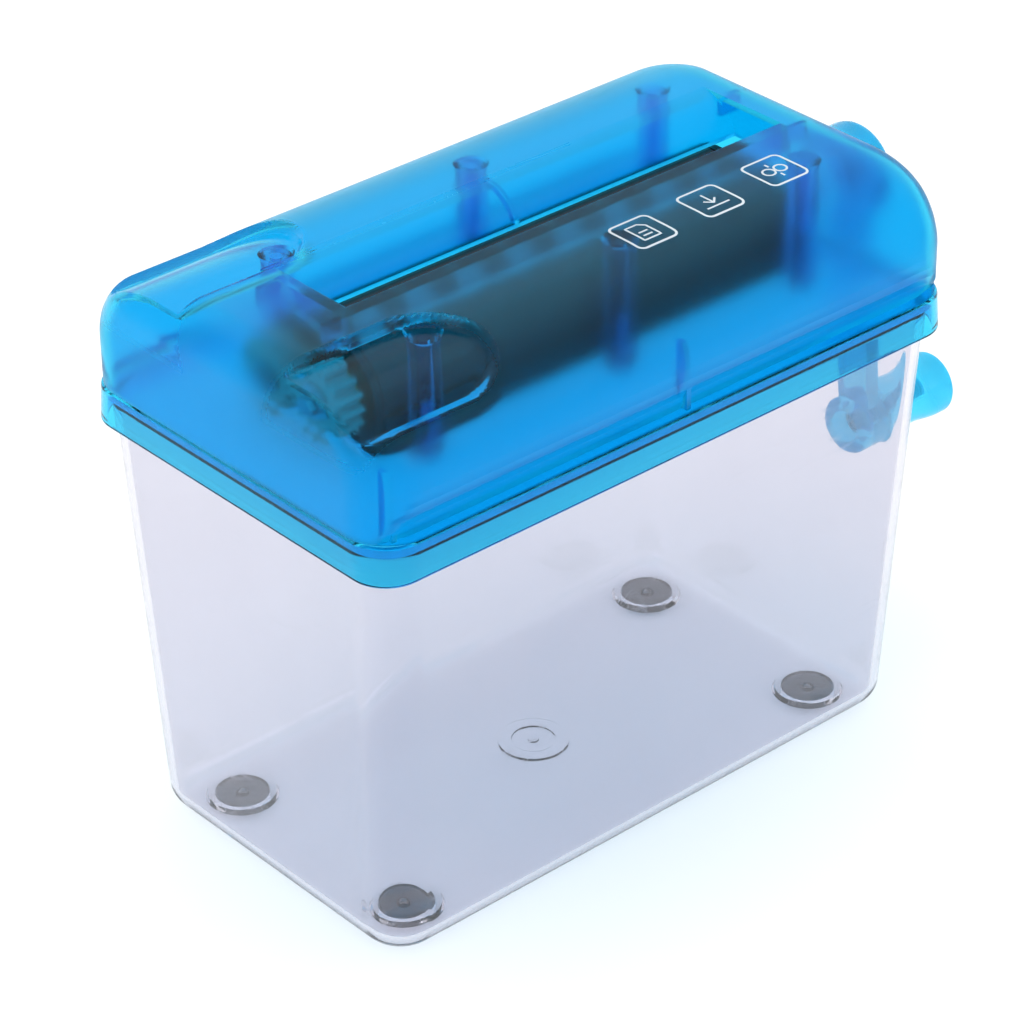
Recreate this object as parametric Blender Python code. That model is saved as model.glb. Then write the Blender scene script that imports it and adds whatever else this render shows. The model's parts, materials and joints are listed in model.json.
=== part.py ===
"""Hand-crank paper shredder, built as the separate pieces of the real thing.

Sizes are in millimetres and become metres where each mesh is made. X runs
along the head towards the crank, -Y is the front, Z is up and the rubber
feet stand on Z = 0. Pieces are laid out from the middle of the bin, and one
empty then moves them all so that the whole object is centred on the origin.
"""
import math

import bmesh
import bpy

# ---- sizes that drive the rest ----
HEAD_LENGTH = 170.0
HEAD_DEPTH = 102.2
BIN_TOP = 110.0
HEAD_RISE = 30.6
PIECE_GAP = 0.3
HALF_LENGTH = HEAD_LENGTH / 2.0

# ---- base frame: the band and the floor of the works ----
BAND_BOTTOM = BIN_TOP - 5.6
SEAM_HEIGHT = BAND_BOTTOM + 9.0
BAND_WALL = 1.5
PLATE_BOTTOM = BIN_TOP + 0.4
PLATE_THICKNESS = 2.2
PLATE_TOP = PLATE_BOTTOM + PLATE_THICKNESS
RAIL_THICKNESS = 1.6
WORKS_BOTTOM = PLATE_TOP + PIECE_GAP

# ---- gears and shafts ----
GEAR_MODULE = 1.0
GEAR_TEETH = 16
GEAR_WIDTH = 6.0
GEAR_PRESSURE = math.radians(20.0)
GEAR_BACKLASH = 0.16
GEAR_TIP = GEAR_MODULE * (GEAR_TEETH / 2.0 + 0.95)
CENTRE_DISTANCE = GEAR_MODULE * GEAR_TEETH
AXLE_Z = PLATE_TOP + GEAR_TIP + 2.75
DRIVE_Y = -7.6
DRIVEN_Y = DRIVE_Y + CENTRE_DISTANCE
RAIL_TOP = AXLE_Z - GEAR_TIP - 2.0 * PIECE_GAP
SHAFT_HEX = 3.2
JOURNAL_RADIUS = 2.5
END_HEX = 2.4
BORE_CLEARANCE = 0.15
RUNNING_CLEARANCE = 0.07

# ---- cutters, guards and end plates ----
CUTTERS_PER_SHAFT = 8
CUTTER_WIDTH = 7.0
CUTTER_GAP = 0.3
CUTTER_RADIUS = CENTRE_DISTANCE / 2.0 + 0.6
COLLAR_RADIUS = 4.2
CUTTER_PITCH = 2.0 * (CUTTER_WIDTH + CUTTER_GAP)
STACK_LENGTH = CUTTERS_PER_SHAFT * CUTTER_PITCH
GUARD_INNER = CUTTER_RADIUS + 0.4
GUARD_WALL = 1.1
PLATE_RADIUS = GUARD_INNER + GUARD_WALL
END_PLATE = 2.0
END_ROOM = 2.0
BUSH_RADIUS = 4.4
FLANGE_RADIUS = 5.8
FLANGE_WIDTH = 1.2
OUTLET_HALF_WIDTH = CENTRE_DISTANCE / 2.0 + 4.6

# ---- head, as seen from above, and its heights ----
HEAD_CORNER = 11.8
FUNNEL_DEPTH = 8.7
HEAD_TOP = max(SEAM_HEIGHT + HEAD_RISE, AXLE_Z + PLATE_RADIUS + 3.0 * PIECE_GAP + FUNNEL_DEPTH)
SHOULDER_START = HEAD_TOP - 19.0
SHOULDER_WIDTH = HEAD_DEPTH / 4.0
END_FILLET = 9.5
COVER_WALL = 2.2
COVER_BOTTOM = SEAM_HEIGHT + PIECE_GAP

# ---- feed funnel of the cover ----
SLOT_LEFT = -HALF_LENGTH + 28.2
SLOT_RIGHT = HALF_LENGTH - 13.5
SLOT_FRONT = -7.2
SLOT_BACK = 16.5
THROAT_BACK = 8.3
FUNNEL_BOTTOM = HEAD_TOP - FUNNEL_DEPTH
FUNNEL_WALL = 1.6
WORKS_X = (SLOT_LEFT + SLOT_RIGHT) / 2.0 - 3.35
WORKS_HALF = STACK_LENGTH / 2.0 + END_ROOM
LEFT_PLATE_X = WORKS_X - WORKS_HALF
RIGHT_PLATE_X = WORKS_X + WORKS_HALF

# ---- screw towers and ribs of the cover ----
TOWER_RADIUS = 3.5
TOWER_HOLE = 1.45
TOWER_X = (-HALF_LENGTH + 37.0, 8.0, HALF_LENGTH - 21.0)
TOWER_FRONT_Y = DRIVE_Y - PLATE_RADIUS - TOWER_RADIUS - 0.6
TOWER_BACK_Y = DRIVEN_Y + PLATE_RADIUS + TOWER_RADIUS + 5.5
RIB_THICKNESS = 1.3
MIDDLE_RIB_X = 5.5
WALL_RIB_X = 2.2
CORNER_RIB_X = -HALF_LENGTH + 6.0
HOOK_LENGTH = 5.5

# ---- finger recesses at the left end ----
RECESS_X = -HALF_LENGTH + 29.7
RECESS_Y = HEAD_DEPTH / 2.0 - 19.7
RECESS_Z = HEAD_TOP - 3.0
RECESS_RADIUS = 14.2
RECESS_TILT = math.radians(15.0)
RECESS_DEPTH = 2.6

# ---- bin ----
BIN_UNDERSIDE = 1.0
BIN_BOTTOM_LENGTH = HEAD_LENGTH - 13.2
BIN_BOTTOM_DEPTH = HEAD_DEPTH - 15.0
BIN_TOP_LENGTH = HEAD_LENGTH - 3.9
BIN_TOP_DEPTH = HEAD_DEPTH - 4.0
BIN_CORNER = 10.0
BIN_EDGE = 6.0
BIN_WALL = 2.0
BIN_FLOOR = 2.2
FOOT_X = BIN_BOTTOM_LENGTH / 2.0 - 15.1
FOOT_Y = BIN_BOTTOM_DEPTH / 2.0 - 15.2
FOOT_RADIUS = 6.0
FOOT_HEIGHT = 3.2
FOOT_HOLE = 1.5
CUP_WALL = 2.0
CUP_ROOF = 1.1
GATE_RADIUS = 8.6
GATE_HEIGHT = 0.5

# ---- crank ----
CRANK_LENGTH = 69.2
KNOB_Z = AXLE_Z - CRANK_LENGTH
STUB_RADIUS = 5.8
STUB_START = HALF_LENGTH - 13.5
HUB_RADIUS = 11.5
HUB_INNER = HALF_LENGTH + 3.0
HUB_OUTER = HUB_INNER + 9.8
SOCKET_END = HUB_INNER - 3.7
SHAFT_END = SOCKET_END - 0.8
CRANK_SCREW_START = SHAFT_END - 7.5
ARM_WIDTH = 10.0
ARM_THICKNESS = 6.4
ARM_REACH = HUB_OUTER + 6.6
EYE_RADIUS = 7.25
EYE_INNER = ARM_REACH - 8.6
EYE_HOLLOW = 4.0
PIN_SEAT = ARM_REACH - 3.4
KNOB_START = ARM_REACH + 0.8
KNOB_END = KNOB_START + 21.4
KNOB_RADIUS = 8.0
KNOB_WAIST = 7.1
PIN_RADIUS = 2.1

# ---- half of what the crank adds past the head's right end ----
BODY_X = (HALF_LENGTH - KNOB_END) / 2.0
METRES = 0.001


# ---------------------------------------------------------------- materials
def material(name, colour, roughness, metallic=0.0, alpha=1.0):
    """A plain shader with a colour, a roughness and how metallic it is."""
    made = bpy.data.materials.new(name)
    made.use_nodes = True
    shader = made.node_tree.nodes["Principled BSDF"]
    shader.inputs["Base Color"].default_value = (*colour, 1.0)
    shader.inputs["Roughness"].default_value = roughness
    shader.inputs["Metallic"].default_value = metallic
    shader.inputs["Alpha"].default_value = alpha
    made.diffuse_color = (*colour, alpha)
    return made


def make_materials():
    """One material for each kind of stuff the shredder is made of."""
    return {
        "blue": material("blue_translucent_plastic", (0.01, 0.42, 0.86), 0.25, alpha=0.7),
        "clear": material("clear_plastic", (0.82, 0.85, 0.92), 0.05, alpha=0.35),
        "rubber": material("grey_rubber", (0.18, 0.19, 0.21), 0.7),
        "black": material("black_plastic", (0.02, 0.02, 0.025), 0.45),
        "white": material("white_gear_plastic", (0.78, 0.78, 0.74), 0.4),
        "steel": material("cutter_steel", (0.55, 0.56, 0.58), 0.3, 1.0),
        "bronze": material("bush_bronze", (0.5, 0.33, 0.14), 0.4, 1.0),
    }


# ------------------------------------------------------------------ meshes
def make_object(name, points, faces, smooth_angle=35.0):
    """A closed mesh object in metres, its faces turned outwards."""
    mesh = bpy.data.meshes.new(name)
    scaled = [(x * METRES, y * METRES, z * METRES) for x, y, z in points]
    mesh.from_pydata(scaled, [], faces)
    shaped = bmesh.new()
    shaped.from_mesh(mesh)
    bmesh.ops.recalc_face_normals(shaped, faces=shaped.faces)
    shaped.to_mesh(mesh)
    shaped.free()
    smooth(mesh, smooth_angle)
    made = bpy.data.objects.new(name, mesh)
    bpy.context.scene.collection.objects.link(made)
    return made


def smooth(mesh, angle):
    """Shade smooth, keeping edges sharper than the angle crisp."""
    mesh.polygons.foreach_set("use_smooth", [True] * len(mesh.polygons))
    mesh.set_sharp_from_angle(angle=math.radians(angle))


def finish(made, stuff, parent, location=(0.0, 0.0, 0.0)):
    """Give a piece its material, its parent and its place."""
    made.data.materials.clear()
    made.data.materials.append(stuff)
    made.parent = parent
    made.location = [value * METRES for value in location]
    return made


def joint_frame(name, parent, location):
    """An empty that holds a place, such as a joint's axis."""
    holder = bpy.data.objects.new(name, None)
    bpy.context.scene.collection.objects.link(holder)
    holder.empty_display_size = 0.01
    holder.parent = parent
    holder.location = [value * METRES for value in location]
    return holder


def loft(name, rings, closed=False):
    """Skin rings with the same number of points.

    The end rings are capped, or with closed the last ring joins the first.
    """
    count = len(rings[0])
    points = [point for ring in rings for point in ring]
    faces = []
    last = len(rings) if closed else len(rings) - 1
    for row in range(last):
        low = row * count
        high = ((row + 1) % len(rings)) * count
        for side in range(count):
            following = (side + 1) % count
            faces.append((low + side, low + following, high + following, high + side))
    if not closed:
        faces.append(tuple(range(count)))
        faces.append(tuple(range(len(points) - count, len(points))))
    return make_object(name, points, faces)


def prism(name, outline, low, high, along="X"):
    """Extrude a flat outline between two positions on one axis."""
    places = {
        "X": lambda a, b, at: (at, a, b),
        "Y": lambda a, b, at: (a, at, b),
        "Z": lambda a, b, at: (a, b, at),
    }
    place = places[along]
    return loft(name, [[place(a, b, at) for a, b in outline] for at in (low, high)])


def box(name, x_range, y_range, z_range):
    """A plain block between three pairs of limits."""
    outline = [
        (x_range[0], y_range[0]),
        (x_range[1], y_range[0]),
        (x_range[1], y_range[1]),
        (x_range[0], y_range[1]),
    ]
    return prism(name, outline, z_range[0], z_range[1], "Z")


def circle(radius, sides, around=False, turn=0.0):
    """A regular polygon in a circle, or with around outside it."""
    reach = radius / math.cos(math.pi / sides) if around else radius
    steps = [turn + 2.0 * math.pi * step / sides for step in range(sides)]
    return [(reach * math.cos(step), reach * math.sin(step)) for step in steps]


def hexagon(corner, sides):
    """A hexagon drawn with a multiple of six points."""
    points = []
    for step in range(sides):
        angle = 2.0 * math.pi * step / sides
        offset = (angle % (math.pi / 3.0)) - math.pi / 6.0
        reach = corner * math.cos(math.pi / 6.0) / math.cos(offset)
        points.append((reach * math.cos(angle), reach * math.sin(angle)))
    return points


def turned(name, profile, sides, along="X", closed=False):
    """A turned piece from (position, radius) pairs.

    A radius may also be a ready outline, such as a hexagon.
    """
    rings = []
    for at, radius in profile:
        outline = radius if isinstance(radius, list) else circle(radius, sides)
        if along == "X":
            rings.append([(at, a, b) for a, b in outline])
        else:
            rings.append([(a, b, at) for a, b in outline])
    return loft(name, rings, closed)


def move(made, x=0.0, y=0.0, z=0.0):
    """Shift a mesh's own points, for tools and joined features."""
    for vertex in made.data.vertices:
        vertex.co.x += x * METRES
        vertex.co.y += y * METRES
        vertex.co.z += z * METRES
    return made


def combine(target, tools, operation):
    """Join or cut the target with each tool in turn, and remove the tools."""
    for tool in tools:
        step = target.modifiers.new("step", "BOOLEAN")
        step.operation = operation
        step.solver = "EXACT"
        step.object = tool
        graph = bpy.context.evaluated_depsgraph_get()
        result = bpy.data.meshes.new_from_object(target.evaluated_get(graph))
        target.modifiers.clear()
        target.data = result
        bpy.data.objects.remove(tool, do_unlink=True)
    smooth(target.data, 35.0)
    return target


def join(target, *tools):
    """Add the tools' shapes to the target."""
    return combine(target, tools, "UNION")


def cut(target, *tools):
    """Take the tools' shapes away from the target."""
    return combine(target, tools, "DIFFERENCE")


def rounded_ring(half_x, half_y, corner, height, steps=4):
    """A rectangle with round corners, as a level ring of points."""
    ring = []
    for quarter, (sign_x, sign_y) in enumerate(((1, 1), (-1, 1), (-1, -1), (1, -1))):
        centre_x = sign_x * (half_x - corner)
        centre_y = sign_y * (half_y - corner)
        for step in range(steps + 1):
            angle = (quarter + step / steps) * math.pi / 2.0
            ring.append((
                centre_x + corner * math.cos(angle),
                centre_y + corner * math.sin(angle),
                height,
            ))
    return ring


# ---------------------------------------------------------------- the bin
def bin_ring(inset, height):
    """The bin's outline at a height, drawn in by an inset."""
    rise = (height - BIN_UNDERSIDE) / (BIN_TOP - BIN_UNDERSIDE)
    length = BIN_BOTTOM_LENGTH + (BIN_TOP_LENGTH - BIN_BOTTOM_LENGTH) * rise
    depth = BIN_BOTTOM_DEPTH + (BIN_TOP_DEPTH - BIN_BOTTOM_DEPTH) * rise
    corner = BIN_CORNER - inset
    return rounded_ring(length / 2.0 - inset, depth / 2.0 - inset, corner, height)


def bin_solid(name, inset, bottom, top):
    """The tapered block of the bin with a rounded lower edge."""
    edge = BIN_EDGE - inset
    rings = []
    for step in range(4):
        angle = step * math.pi / 6.0
        drawn_in = inset + edge * (1.0 - math.sin(angle))
        rings.append(bin_ring(drawn_in, bottom + edge * (1.0 - math.cos(angle))))
    rings.append(bin_ring(inset, top))
    return loft(name, rings)


def foot_places():
    """The four feet, front left first."""
    return [(x, y) for y in (-FOOT_Y, FOOT_Y) for x in (-FOOT_X, FOOT_X)]


def make_bin(stuff, parent):
    """The clear bin, with a cup over each foot and the moulding mark."""
    shell = bin_solid("bin", 0.0, BIN_UNDERSIDE, BIN_TOP)
    cut(shell, bin_solid("inside", BIN_WALL, BIN_UNDERSIDE + BIN_FLOOR, BIN_TOP + 1.0))
    pocket = FOOT_RADIUS + PIECE_GAP
    roof = FOOT_HEIGHT + PIECE_GAP
    floor_middle = BIN_UNDERSIDE + BIN_FLOOR / 2.0
    for x, y in foot_places():
        cup_top = roof + CUP_ROOF
        profile = [(floor_middle, pocket + CUP_WALL), (cup_top - 0.6, pocket + CUP_WALL)]
        profile.append((cup_top, pocket + CUP_WALL - 0.6))
        join(shell, move(turned("cup", profile, 20, "Z"), x, y))
        cut(shell, move(turned("pocket", [(0.0, pocket), (roof, pocket)], 20, "Z"), x, y))
        peg = [(BIN_UNDERSIDE, FOOT_HOLE - PIECE_GAP), (roof + 0.6, FOOT_HOLE - PIECE_GAP)]
        join(shell, move(turned("peg", peg, 10, "Z"), x, y))
    mark_top = BIN_UNDERSIDE + BIN_FLOOR + GATE_HEIGHT
    mark = [(floor_middle, GATE_RADIUS), (mark_top, GATE_RADIUS)]
    join(shell, turned("mark", mark, 20, "Z"))
    return finish(shell, stuff["clear"], parent)


def make_feet(stuff, parent):
    """Four rubber discs, each pierced for the peg in its cup."""
    profile = [
        (0.0, FOOT_HOLE),
        (0.0, FOOT_RADIUS - 0.5),
        (0.5, FOOT_RADIUS),
        (FOOT_HEIGHT, FOOT_RADIUS),
        (FOOT_HEIGHT, FOOT_HOLE),
    ]
    for number, (x, y) in enumerate(foot_places(), 1):
        foot = turned(f"foot_{number}", profile, 16, "Z", closed=True)
        finish(foot, stuff["rubber"], parent, (x, y, 0.0))


# -------------------------------------------------------------- the cover
def shoulder_level(offset, angle):
    """Height and half depth of the long shoulders at an angle."""
    rise = HEAD_TOP - SHOULDER_START - offset
    reach = SHOULDER_WIDTH - offset
    height = SHOULDER_START + rise * math.sin(angle)
    flat = HEAD_DEPTH / 2.0 - SHOULDER_WIDTH
    return height, flat + reach * math.cos(angle)


def cover_solid(name, offset, bottom):
    """The head's outside, or with an offset a block inside it."""
    half_length = HALF_LENGTH - offset
    corner = HEAD_CORNER - offset
    fillet = END_FILLET - offset
    fillet_start = HEAD_TOP - END_FILLET
    rings = [rounded_ring(half_length, HEAD_DEPTH / 2.0 - offset, corner, bottom)]
    for degrees in (0, 16, 31, 45, 58, 70, 80, 90):
        height, half_depth = shoulder_level(offset, math.radians(degrees))
        over = min(max(height - fillet_start, 0.0), fillet)
        drawn_in = fillet - math.sqrt(fillet * fillet - over * over)
        round_off = max(corner - 0.75 * drawn_in, 1.5)
        rings.append(rounded_ring(half_length - drawn_in, half_depth, round_off, height))
    return loft(name, rings)


def shoulder_bar(name, offset):
    """The head's cross-section, run past both ends with no end fillets."""
    outline = []
    for side in (-1, 1):
        levels = [math.radians(degrees) for degrees in (0, 16, 31, 45, 58, 70, 80, 90)]
        for angle in levels if side < 0 else reversed(levels):
            height, half_depth = shoulder_level(offset, angle)
            outline.append((side * half_depth, height))
    outline.append((HEAD_DEPTH / 2.0 - offset, BAND_BOTTOM))
    outline.insert(0, (-HEAD_DEPTH / 2.0 + offset, BAND_BOTTOM))
    return prism(name, outline, -HEAD_LENGTH, HEAD_LENGTH)


def recess_bar(name, side, grow):
    """A finger recess's outline, run square to the shoulder it cuts."""
    radius = RECESS_RADIUS + grow
    outline = [(-HEAD_LENGTH, -radius)]
    for step in range(11):
        angle = -math.pi / 2.0 + math.pi * step / 10.0
        outline.append((RECESS_X + radius * math.cos(angle), radius * math.sin(angle)))
    outline.append((-HEAD_LENGTH, radius))
    tilt = math.cos(RECESS_TILT), math.sin(RECESS_TILT)
    rings = []
    for lift in (-14.0, 20.0):
        ring = []
        for x, across in outline:
            y = RECESS_Y + across * tilt[0] + lift * tilt[1]
            z = RECESS_Z - across * tilt[1] + lift * tilt[0]
            ring.append((x, side * y, z))
        rings.append(ring)
    return loft(name, rings)


def funnel_outline(grow, bottom, top, both_sides=True):
    """Cross-section of the feed funnel: upright in front, curved behind."""
    back = [
        (SLOT_BACK, HEAD_TOP - 0.3),
        (SLOT_BACK - 1.8, HEAD_TOP - 1.3),
        (SLOT_BACK - 3.2, HEAD_TOP - 2.8),
        (SLOT_BACK - 5.5, HEAD_TOP - 5.4),
        (SLOT_BACK - 7.6, HEAD_TOP - 7.8),
        (THROAT_BACK, FUNNEL_BOTTOM),
    ]
    front = SLOT_FRONT - grow if both_sides else 0.0
    outline = [(front, bottom), (front, top)]
    outline.append((SLOT_BACK + grow, top))
    outline += [(y + grow, z) for y, z in back if bottom < z < top]
    outline.append((THROAT_BACK + grow, bottom))
    return outline


def tower_places():
    """The six screw towers as (x, y, top of the screw hole)."""
    places = []
    recess_edge = RECESS_Y - RECESS_RADIUS * math.cos(RECESS_TILT)
    for x in TOWER_X:
        for y in (TOWER_FRONT_Y, TOWER_BACK_Y):
            along = x < RECESS_X + RECESS_RADIUS
            low = along and abs(y) + TOWER_RADIUS > recess_edge
            places.append((x, y, HEAD_TOP - COVER_WALL - 1.3 - (RECESS_DEPTH if low else 0.0)))
    return places


def cover_ribs():
    """Thin ribs moulded inside the cover."""
    half = RIB_THICKNESS / 2.0
    ribs = []
    ceiling = HEAD_TOP - COVER_WALL / 2.0
    rib_bottom = ceiling - 5.0
    for end, outwards in ((SLOT_LEFT - FUNNEL_WALL, -1), (SLOT_RIGHT + FUNNEL_WALL, 1)):
        for y in (SLOT_FRONT - FUNNEL_WALL / 2.0, SLOT_BACK - 2.6):
            reach = sorted((end - outwards * 0.9, end + outwards * HOOK_LENGTH))
            ribs.append(box("hook", reach, (y - half, y + half), (rib_bottom, ceiling)))
    behind = funnel_outline(FUNNEL_WALL + 1.5, FUNNEL_BOTTOM, ceiling, both_sides=False)
    ribs.append(prism("rib", behind, MIDDLE_RIB_X - half, MIDDLE_RIB_X + half))
    wall_middle = HEAD_DEPTH / 2.0 - COVER_WALL / 2.0
    low_ribs = (COVER_BOTTOM + 0.5, SHOULDER_START + 5.0)
    for x, wall in ((WALL_RIB_X, -wall_middle), (CORNER_RIB_X, -wall_middle + 1.6)):
        ribs.append(box("wall_rib", (x - half, x + half), (wall, wall + 4.0), low_ribs))
    return ribs


def make_cover(stuff, parent):
    """The translucent cover of the head, one hollow moulding."""
    hollow = cover_solid("hollow", COVER_WALL, COVER_BOTTOM - 5.0)
    floor = RECESS_DEPTH + COVER_WALL
    cut(hollow, recess_bar("left_under", -1, COVER_WALL), recess_bar("right_under", 1, COVER_WALL))
    join(hollow, cover_solid("deep_hollow", floor, COVER_BOTTOM - 4.0))
    cover = cover_solid("top_cover", 0.0, COVER_BOTTOM)
    cut(cover, hollow)
    towers = []
    for x, y, _ in tower_places():
        profile = [(WORKS_BOTTOM, TOWER_RADIUS), (HEAD_TOP - COVER_WALL / 2.0, TOWER_RADIUS)]
        towers.append(move(turned("tower", profile, 12, "Z"), x, y))
    join(cover, *towers)
    funnel = funnel_outline(FUNNEL_WALL, FUNNEL_BOTTOM, HEAD_TOP - 1.0)
    ends = SLOT_LEFT - FUNNEL_WALL, SLOT_RIGHT + FUNNEL_WALL
    join(cover, *cover_ribs(), prism("funnel", funnel, *ends))
    for side in (-1, 1):
        scoop = recess_bar("scoop", side, 0.0)
        cut(scoop, shoulder_bar("kept", RECESS_DEPTH))
        cut(cover, scoop)
    slot = funnel_outline(0.0, FUNNEL_BOTTOM - 2.0, HEAD_TOP + 2.0)
    cut(cover, prism("slot", slot, SLOT_LEFT, SLOT_RIGHT))
    for x, y, top in tower_places():
        profile = [(WORKS_BOTTOM - 1.0, TOWER_HOLE), (top, TOWER_HOLE)]
        cut(cover, move(turned("hole", profile, 8, "Z"), x, y))
    opening = STUB_RADIUS + 0.8
    window = turned("window", [(HALF_LENGTH - 6.0, opening), (HALF_LENGTH + 3.0, opening)], 20)
    cut(cover, move(window, 0.0, DRIVE_Y, AXLE_Z))
    return finish(cover, stuff["blue"], parent)


# --------------------------------------------------------- the base frame
def rounded_block(name, inset, low, high):
    """The head's plan outline, drawn in and extruded."""
    half_x = HALF_LENGTH - inset
    half_y = HEAD_DEPTH / 2.0 - inset
    return loft(name, [rounded_ring(half_x, half_y, HEAD_CORNER - inset, z) for z in (low, high)])


def make_base(stuff, parent):
    """The band round the bin's rim and the floor under the works."""
    base = rounded_block("base_frame", 0.0, BAND_BOTTOM, SEAM_HEIGHT)
    cut(base, rounded_block("under", BAND_WALL, BAND_BOTTOM - 1.0, PLATE_BOTTOM))
    cut(base, rounded_block("over", BAND_WALL + 0.5, PLATE_TOP, SEAM_HEIGHT + 1.0))
    middle = (DRIVE_Y + DRIVEN_Y) / 2.0
    across = (middle - OUTLET_HALF_WIDTH, middle + OUTLET_HALF_WIDTH)
    along = (LEFT_PLATE_X + END_PLATE, RIGHT_PLATE_X - END_PLATE)
    cut(base, box("outlet", along, across, (BAND_BOTTOM, SEAM_HEIGHT + 5.0)))
    for x, outwards in ((LEFT_PLATE_X - END_PLATE, -1), (RIGHT_PLATE_X + END_PLATE, 1)):
        near = x + outwards * PIECE_GAP
        sides = sorted((near, near + outwards * RAIL_THICKNESS))
        rail = (DRIVE_Y - PLATE_RADIUS + 1.1, DRIVEN_Y + PLATE_RADIUS - 1.1)
        join(base, box("rail", sides, rail, (PLATE_TOP - 1.0, RAIL_TOP)))
    for x, y, _ in tower_places():
        profile = [(PLATE_BOTTOM - 3.0, TOWER_HOLE + 0.3), (PLATE_TOP + 1.0, TOWER_HOLE + 0.3)]
        cut(base, move(turned("hole", profile, 10, "Z"), x, y))
    return finish(base, stuff["blue"], parent)


def make_cover_screws(stuff, parent):
    """Six screws that come up through the floor into the towers."""
    head = PLATE_BOTTOM - PIECE_GAP
    profile = [
        (head - 2.0, 2.2),
        (head - 1.5, 2.9),
        (head, 2.9),
        (head, TOWER_HOLE - 0.2),
        (head + 14.0, TOWER_HOLE - 0.2),
    ]
    for number, (x, y, _) in enumerate(tower_places(), 1):
        screw = turned(f"cover_screw_{number}", profile, 10, "Z")
        finish(screw, stuff["steel"], parent, (x, y, 0.0))


# ---------------------------------------------------------- cutting works
def guard_outline():
    """The curved guard round the outside of a row of cutters, in Y and Z."""
    outer = GUARD_INNER + GUARD_WALL
    angles = [math.radians(70.0 + 220.0 * step / 12) for step in range(13)]
    outline = [(outer * math.cos(angle), outer * math.sin(angle)) for angle in angles]
    inner = [(GUARD_INNER * math.cos(a), GUARD_INNER * math.sin(a)) for a in reversed(angles)]
    return outline + inner


def make_comb(name, side, stuff, parent):
    """A guard with fingers that clear paper from between the cutters.

    side is -1 for the front comb, round the drive cutters, and 1 for the
    one behind.
    """
    half = STACK_LENGTH / 2.0 + END_ROOM - PIECE_GAP
    comb = prism(name, guard_outline(), -half, half)
    leg = (-GUARD_INNER - GUARD_WALL, -GUARD_INNER + 0.3)
    foot = WORKS_BOTTOM - AXLE_Z
    join(comb, box("leg", (-half, half), leg, (foot, -3.4)))
    for number in range(CUTTERS_PER_SHAFT):
        gap_middle = -STACK_LENGTH / 2.0 + CUTTER_PITCH * (number + 0.75)
        if side > 0:
            gap_middle -= CUTTER_PITCH / 2.0
        width = CUTTER_WIDTH / 2.0 - 0.2
        reach = (-GUARD_INNER - 0.4, -COLLAR_RADIUS - 0.5)
        span = (gap_middle - width, gap_middle + width)
        join(comb, box("finger", span, reach, (-1.4, 1.4)))
    y = DRIVE_Y if side < 0 else DRIVEN_Y
    if side > 0:
        for vertex in comb.data.vertices:
            vertex.co.y = -vertex.co.y
        comb.data.flip_normals()
    return finish(comb, stuff["black"], parent, (WORKS_X, y, AXLE_Z))


def plate_outline():
    """An end plate: square at the foot, round over both shafts."""
    points = [(DRIVEN_Y + PLATE_RADIUS, WORKS_BOTTOM)]
    for centre, start in ((DRIVEN_Y, 0.0), (DRIVE_Y, 90.0)):
        for step in range(6):
            angle = math.radians(start + 18.0 * step)
            y = centre + PLATE_RADIUS * math.cos(angle)
            points.append((y, AXLE_Z + PLATE_RADIUS * math.sin(angle)))
    points.append((DRIVE_Y - PLATE_RADIUS, WORKS_BOTTOM))
    return points


def make_end_plate(name, x, stuff, parent):
    """A steel plate that carries one end of both shafts."""
    plate = prism(name, plate_outline(), x, x + END_PLATE)
    for y in (DRIVE_Y, DRIVEN_Y):
        hole = BUSH_RADIUS + PIECE_GAP / 2.0
        outline = circle(hole, 14, around=True)
        bore = [(x - 1.0, outline), (x + END_PLATE + 1.0, outline)]
        cut(plate, move(turned("bore", bore, 14), 0.0, y, AXLE_Z))
    return finish(plate, stuff["steel"], parent)


def make_bush(name, x, y, outwards, stuff, parent):
    """A flanged bearing bush, its flange outside the end plate."""
    bore = circle(JOURNAL_RADIUS + RUNNING_CLEARANCE, 14, around=True)
    face = PIECE_GAP
    profile = [
        (-END_PLATE, bore),
        (-END_PLATE, BUSH_RADIUS),
        (face, BUSH_RADIUS),
        (face, FLANGE_RADIUS),
        (face + FLANGE_WIDTH, FLANGE_RADIUS),
        (face + FLANGE_WIDTH, bore),
    ]
    profile = [(outwards * at, radius) for at, radius in profile]
    bush = turned(name, profile, 14, closed=True)
    return finish(bush, stuff["bronze"], parent, (x, y, AXLE_Z))


def make_shaft(name, ends, screw_hole, stuff, parent):
    """A hexagonal shaft with round journals, and its end bored if asked."""
    sides = 12
    left = LEFT_PLATE_X - END_PLATE - PIECE_GAP - FLANGE_WIDTH
    right = RIGHT_PLATE_X + END_PLATE + PIECE_GAP + FLANGE_WIDTH
    inner = 0.6
    profile = [
        (ends[0], hexagon(END_HEX, sides)),
        (left, hexagon(END_HEX, sides)),
        (left, JOURNAL_RADIUS),
        (LEFT_PLATE_X + inner, JOURNAL_RADIUS),
        (LEFT_PLATE_X + inner, hexagon(SHAFT_HEX, sides)),
        (RIGHT_PLATE_X - inner, hexagon(SHAFT_HEX, sides)),
        (RIGHT_PLATE_X - inner, JOURNAL_RADIUS),
        (right, JOURNAL_RADIUS),
        (right, hexagon(END_HEX, sides)),
        (ends[1], hexagon(END_HEX, sides)),
    ]
    if screw_hole:
        profile.append((ends[1], 1.5))
        profile.append((ends[1] - 8.0, 1.5))
    shaft = turned(name, profile, sides)
    return finish(shaft, stuff["steel"], parent)


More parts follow.
